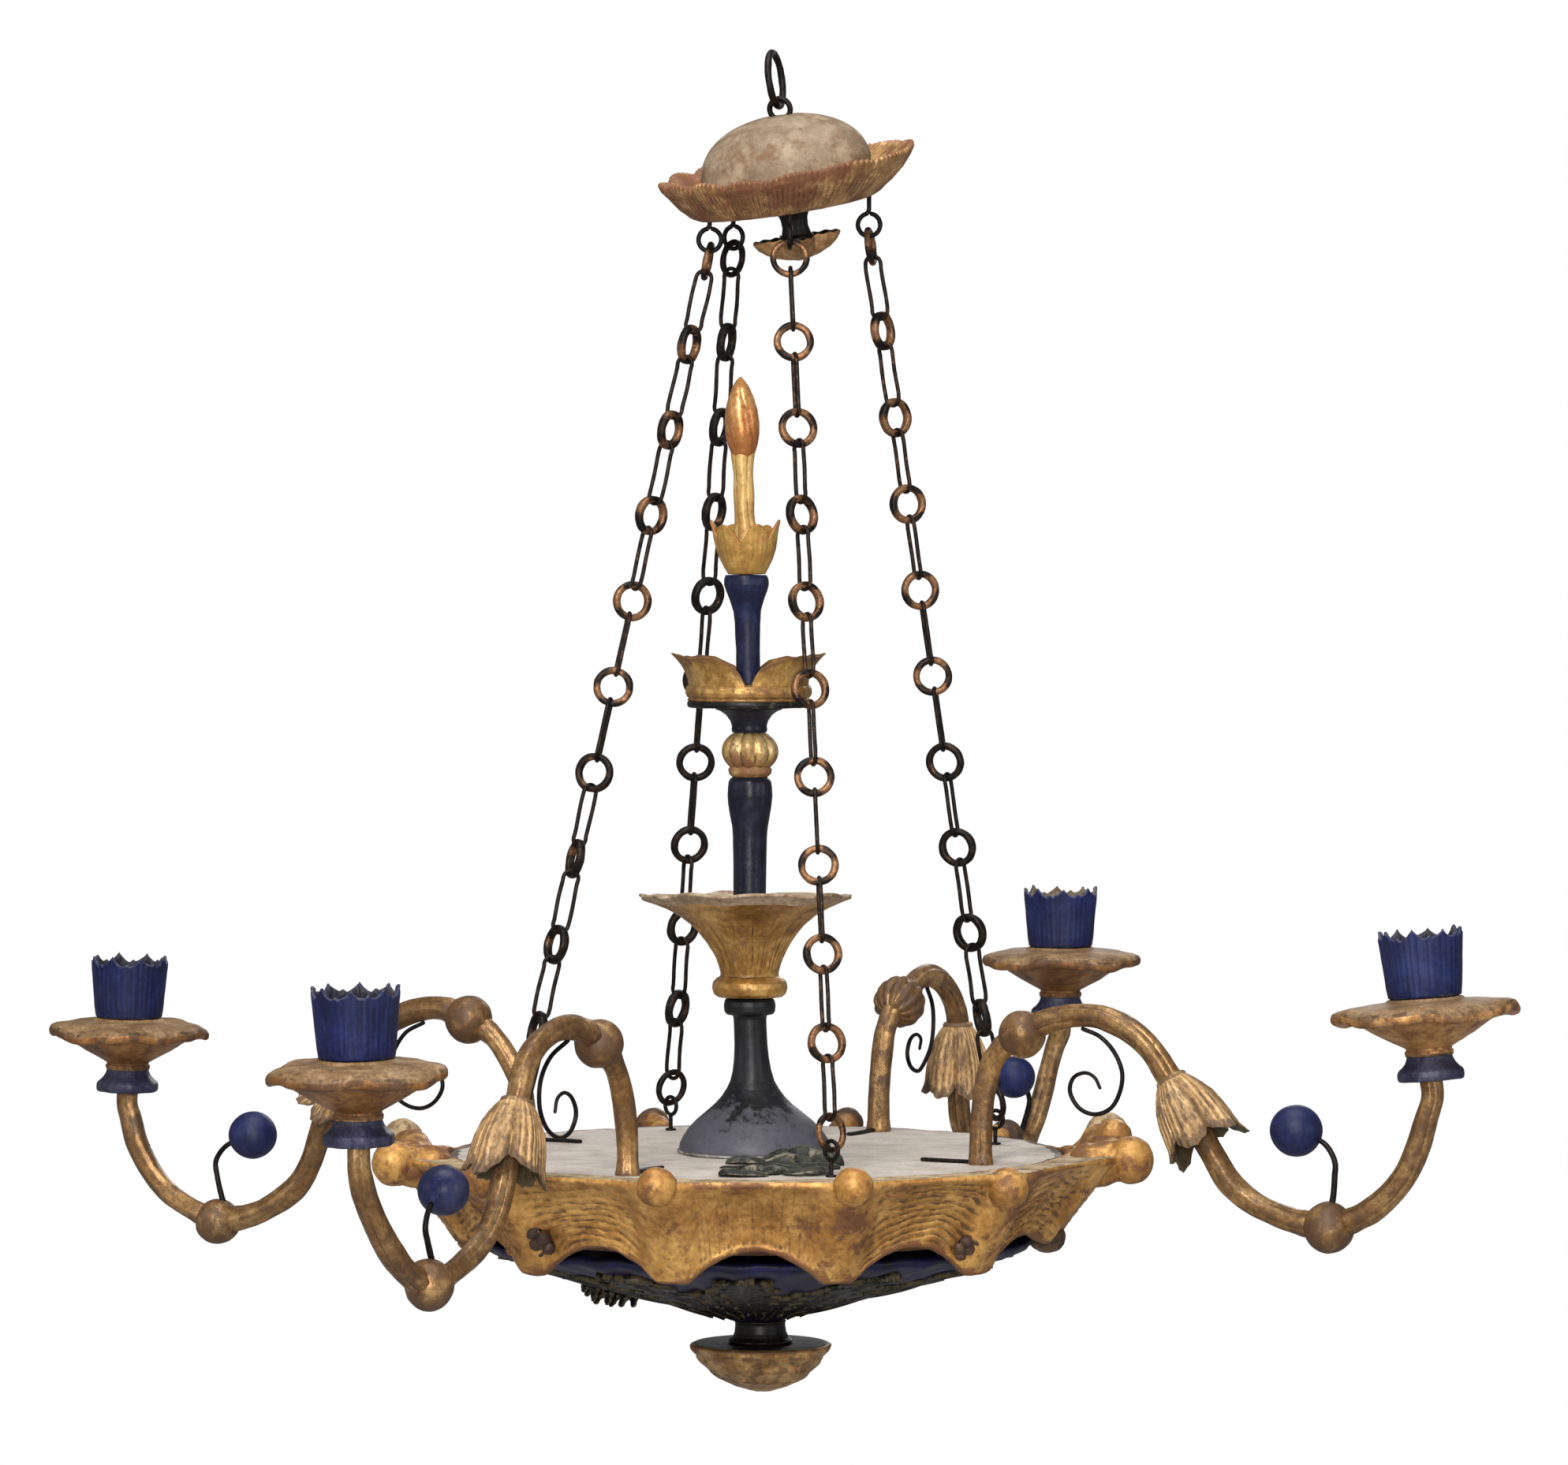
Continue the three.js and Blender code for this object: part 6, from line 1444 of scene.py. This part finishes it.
    # the first arm's pan takes the brighter copy of the pan gilding as painted light
    make(f"arm_{n}_drip_pan_look", [{**pan, "f": pan_under}, {**pan, "f": pan_over, "m": 2}, moved(M_SEAT, rough_up(collar, 0.25, 6, 95 + i)), moved(M_SEAT, band)],
         [PAN_LIT if i == 0 else PAN, DARK_BLUE, PAN_TOP], "tray", [f"arm_{n}_drip_pan"])

    # candle cup
    cup = rough_up(cup_part(), 0.22, 7, 100 + i)
    cup = {**cup, "v": apply(M_SEAT @ R("z", 0.2 + 0.35 * i), cup["v"])}
    # the cups are lined with painted shade, one cup with pale worn chalk
    make(f"arm_{n}_candle_cup_look", split_inner(cup), [BLUE, SHADED_CUP_LINING if i != 1 else WORN], "tray", [f"arm_{n}_candle_cup"])

    # berry on its wire
    bx, bz, br = arm["berry"]
    u = math.radians(arm["wire_foot"])
    end = np.array([lx + (lr - 2.5) * math.cos(u), lz + (lr - 2.5) * math.sin(u)])
    w0, w1, w2, w3 = (np.array(q, float) for q in arm["wire"])
    bow = 0.5 * w3 + 0.3 * (0.5 * w2 + 0.5 * end) + 0.2 * w2
    path = smooth_curve([(bx + 3, bz - 1), tuple(w0), tuple(w1), tuple(w2), tuple(bow), tuple(0.35 * bow + 0.65 * end + (0.6 if end[0] < bow[0] else -0.2)), tuple(end)], 60)
    wire = sweep(path, np.linspace(1.7, 2.2, 60), 14, mat=1)
    berry = globe(br, (bx, 0, bz), 56, 34, seed=33 + i, rough=0.03, squash=0.98)
    make(f"arm_{n}_berry_look", [moved(M, berry), moved(M, rough_up(wire, 0.15, 4, 3))], [BERRY if i == 3 else BLUE, IRON], "tray", [f"arm_{n}_berry"])

    # scroll of iron wire
    pts = arm["scroll"]
    path = smooth_curve(pts, 120)
    make(f"arm_{n}_scroll_look", [moved(M, sweep(path, np.concatenate([np.full(90, 1.55), np.linspace(1.55, 1.15, 30)]), 12))], IRON, "tray", [f"arm_{n}_scroll"])


# ------------------------------------------------------------------ broken leaf pieces lying on the board by the column
def shard(x, y, L, W, H, turn, seed):
    n_u, n_w = 26, 18
    a = np.linspace(0, 2 * math.pi, n_w, endpoint=False)
    U = np.linspace(0, 1, n_u)
    P = np.zeros((n_u, n_w, 3))
    for i, u in enumerate(U):
        w = W * math.sin(math.pi * min(1, 0.04 + 0.92 * u ** 0.8)) ** 0.8 * (1 + 0.26 * abs(math.sin(8 * u + seed)))
        h = H * math.sin(math.pi * min(1, 0.03 + 0.94 * u)) ** 0.5 * (0.72 + 0.28 * math.cos(2.5 * u + seed))
        cy, cz = np.cos(a), np.sin(a)
        P[i, :, 0] = (u - 0.5) * L
        P[i, :, 1] = w * 0.5 * cy + 1.4 * math.sin(4 * u + seed)
        P[i, :, 2] = np.maximum(0, h * (0.5 + 0.5 * cz) * (1 + 0.22 * np.cos(3 * a + seed) + 0.10 * math.sin(9 * u + seed)))
    p = grid(P, loop_j=True, tone=0.05)
    p["f"] += [list(range(n_w))[::-1], [(n_u - 1) * n_w + q for q in range(n_w)]]
    p = rough_up(p, 0.5, 7, 200 + seed)
    p["v"][:, 2] = np.maximum(p["v"][:, 2], 0)
    return moved(T(x, y, BOARD_TOP + 0.1) @ R("z", turn), p)


bits = []
for k, (fx, fy, L, W, H, turn, mat_) in enumerate([(-4, -86, 34, 13, 6, 0.05, 0), (-8, -172, 34, 15, 8, 0.05, 1), (-10, -122, 30, 12, 5, -0.1, 1), (12, -112, 34, 13, 7, -0.35, 0), (20, -78, 40, 14, 10, 0.3, 0),
                                                   (36, -74, 36, 15, 12, -0.4, 0), (30, -104, 38, 13, 9, 0.45, 0), (22, -140, 34, 13, 7, -0.2, 0), (42, -124, 34, 12, 9, 0.2, 0), (36, -164, 34, 13, 9, 0.08, 0),
                                                   (12, -158, 28, 11, 6, 0.5, 0), (50, -92, 26, 12, 10, -0.6, 0), (2, -142, 26, 11, 5, 0.2, 1)]):
    q = apply(M_FRONT, (fx, fy, 0))
    piece_ = shard(q[0], q[1], L, W, H, turn + FRONT, k)
    piece_["m"] = mat_
    bits.append(moved(M_TRAY, piece_))
make("loose_leaf_pieces", bits, [LEAFY, PEWTER], "tray", ())

# ------------------------------------------------------------------ stage, light and camera
S, F_PX = 0.56, 8000.0
HORIZON, MID_X, MID_Y = 690.0, 994.0, 929.0
cam_data = bpy.data.cameras.new("photo_camera")
cam = bpy.data.objects.new("photo_camera", cam_data)
bpy.context.scene.collection.objects.link(cam)
cam_data.sensor_fit = "HORIZONTAL"
cam_data.sensor_width = 36.0
cam_data.lens = 36.0 * F_PX / 1988.0
cam_data.clip_end = 100
pitch = math.atan((MID_Y - HORIZON) / F_PX)
eye = apply(M_FRONT, (7.9, -S * F_PX, -(HORIZON - 73.5) * S))
cam.location = Vector(eye * 0.001)
cam.rotation_euler = (math.pi / 2 - pitch, 0, FRONT)
bpy.context.scene.camera = cam


def plain(name, col, rough=0.9):
    n = Nodes(name)
    spots = n.noise(3.0, 2, 0.5)
    return n.done(n.mix(spots, col, tuple(c * 0.985 for c in col)), rough, 0.0)


# round grey floor, well below the chandelier
Z0 = -1.62
ring_r = [0.0, 0.8, 1.6, 2.4, 3.2, 3.6]
seg_f = 96
vv = [(0.0, 0.0, Z0)] + [(q * math.cos(2 * math.pi * t / seg_f), q * math.sin(2 * math.pi * t / seg_f), Z0) for q in ring_r[1:] for t in range(seg_f)]
ff = [[0, 1 + t, 1 + (t + 1) % seg_f] for t in range(seg_f)]
for q in range(len(ring_r) - 2):
    ff += [[1 + q * seg_f + t, 1 + (q + 1) * seg_f + t, 1 + (q + 1) * seg_f + (t + 1) % seg_f, 1 + q * seg_f + (t + 1) % seg_f] for t in range(seg_f)]
me = bpy.data.meshes.new("floor")
me.from_pydata(vv, [], ff)
me.materials.append(plain("grey_floor", (0.38, 0.38, 0.38)))
floor_obj = bpy.data.objects.new("floor", me)
bpy.context.scene.collection.objects.link(floor_obj)


def area(name, at, aim, size, power, color=(1, 1, 1)):
    data = bpy.data.lights.new(name, "AREA")
    data.shape = "RECTANGLE"
    data.size, data.size_y = size
    data.energy = power
    data.color = color
    o = bpy.data.objects.new(name, data)
    bpy.context.scene.collection.objects.link(o)
    at, aim = apply(M_FRONT, at), apply(M_FRONT, aim)
    o.location = Vector(at)
    o.rotation_euler = (Vector(aim) - Vector(at)).to_track_quat("-Z", "Y").to_euler()
    return o


area("key", (-0.7, -3.6, 2.0), (0, 0, -0.6), (0.9, 0.9), 140, (1.0, 0.975, 0.94))
area("front", (-0.2, -4.4, -0.1), (0, 0, -0.7), (0.9, 0.9), 86, (1.0, 0.98, 0.95))
area("fill", (3.2, -2.4, 0.2), (0, 0, -0.6), (1.4, 1.4), 30, (0.97, 0.98, 1.0))
area("fill_left", (-3.6, -1.2, 0.3), (0, 0, -0.6), (1.4, 1.4), 18, (0.97, 0.98, 1.0))
area("top", (0.0, -0.2, 2.3), (0, 0, -0.5), (1.8, 1.8), 62)
area("back", (0.8, 3.8, 0.6), (0, 0, -0.6), (1.4, 1.4), 22)

# white to the camera, a soft grey room to everything else
world = bpy.data.worlds.new("studio")
bpy.context.scene.world = world
world.use_nodes = True
wt = world.node_tree
bg = wt.nodes["Background"]
seen = wt.nodes.new("ShaderNodeLightPath").outputs["Is Camera Ray"]
mixc = wt.nodes.new("ShaderNodeMix")
mixc.data_type = "RGBA"
wt.links.new(seen, mixc.inputs["Factor"])
mixc.inputs[6].default_value = (0.20, 0.20, 0.21, 1.0)
mixc.inputs[7].default_value = (1.0, 1.0, 1.0, 1.0)
wt.links.new(mixc.outputs[2], bg.inputs[0])
bg.inputs[1].default_value = 1.0
bpy.context.scene.view_settings.view_transform = "Standard"
bpy.context.scene.view_settings.look = "None"

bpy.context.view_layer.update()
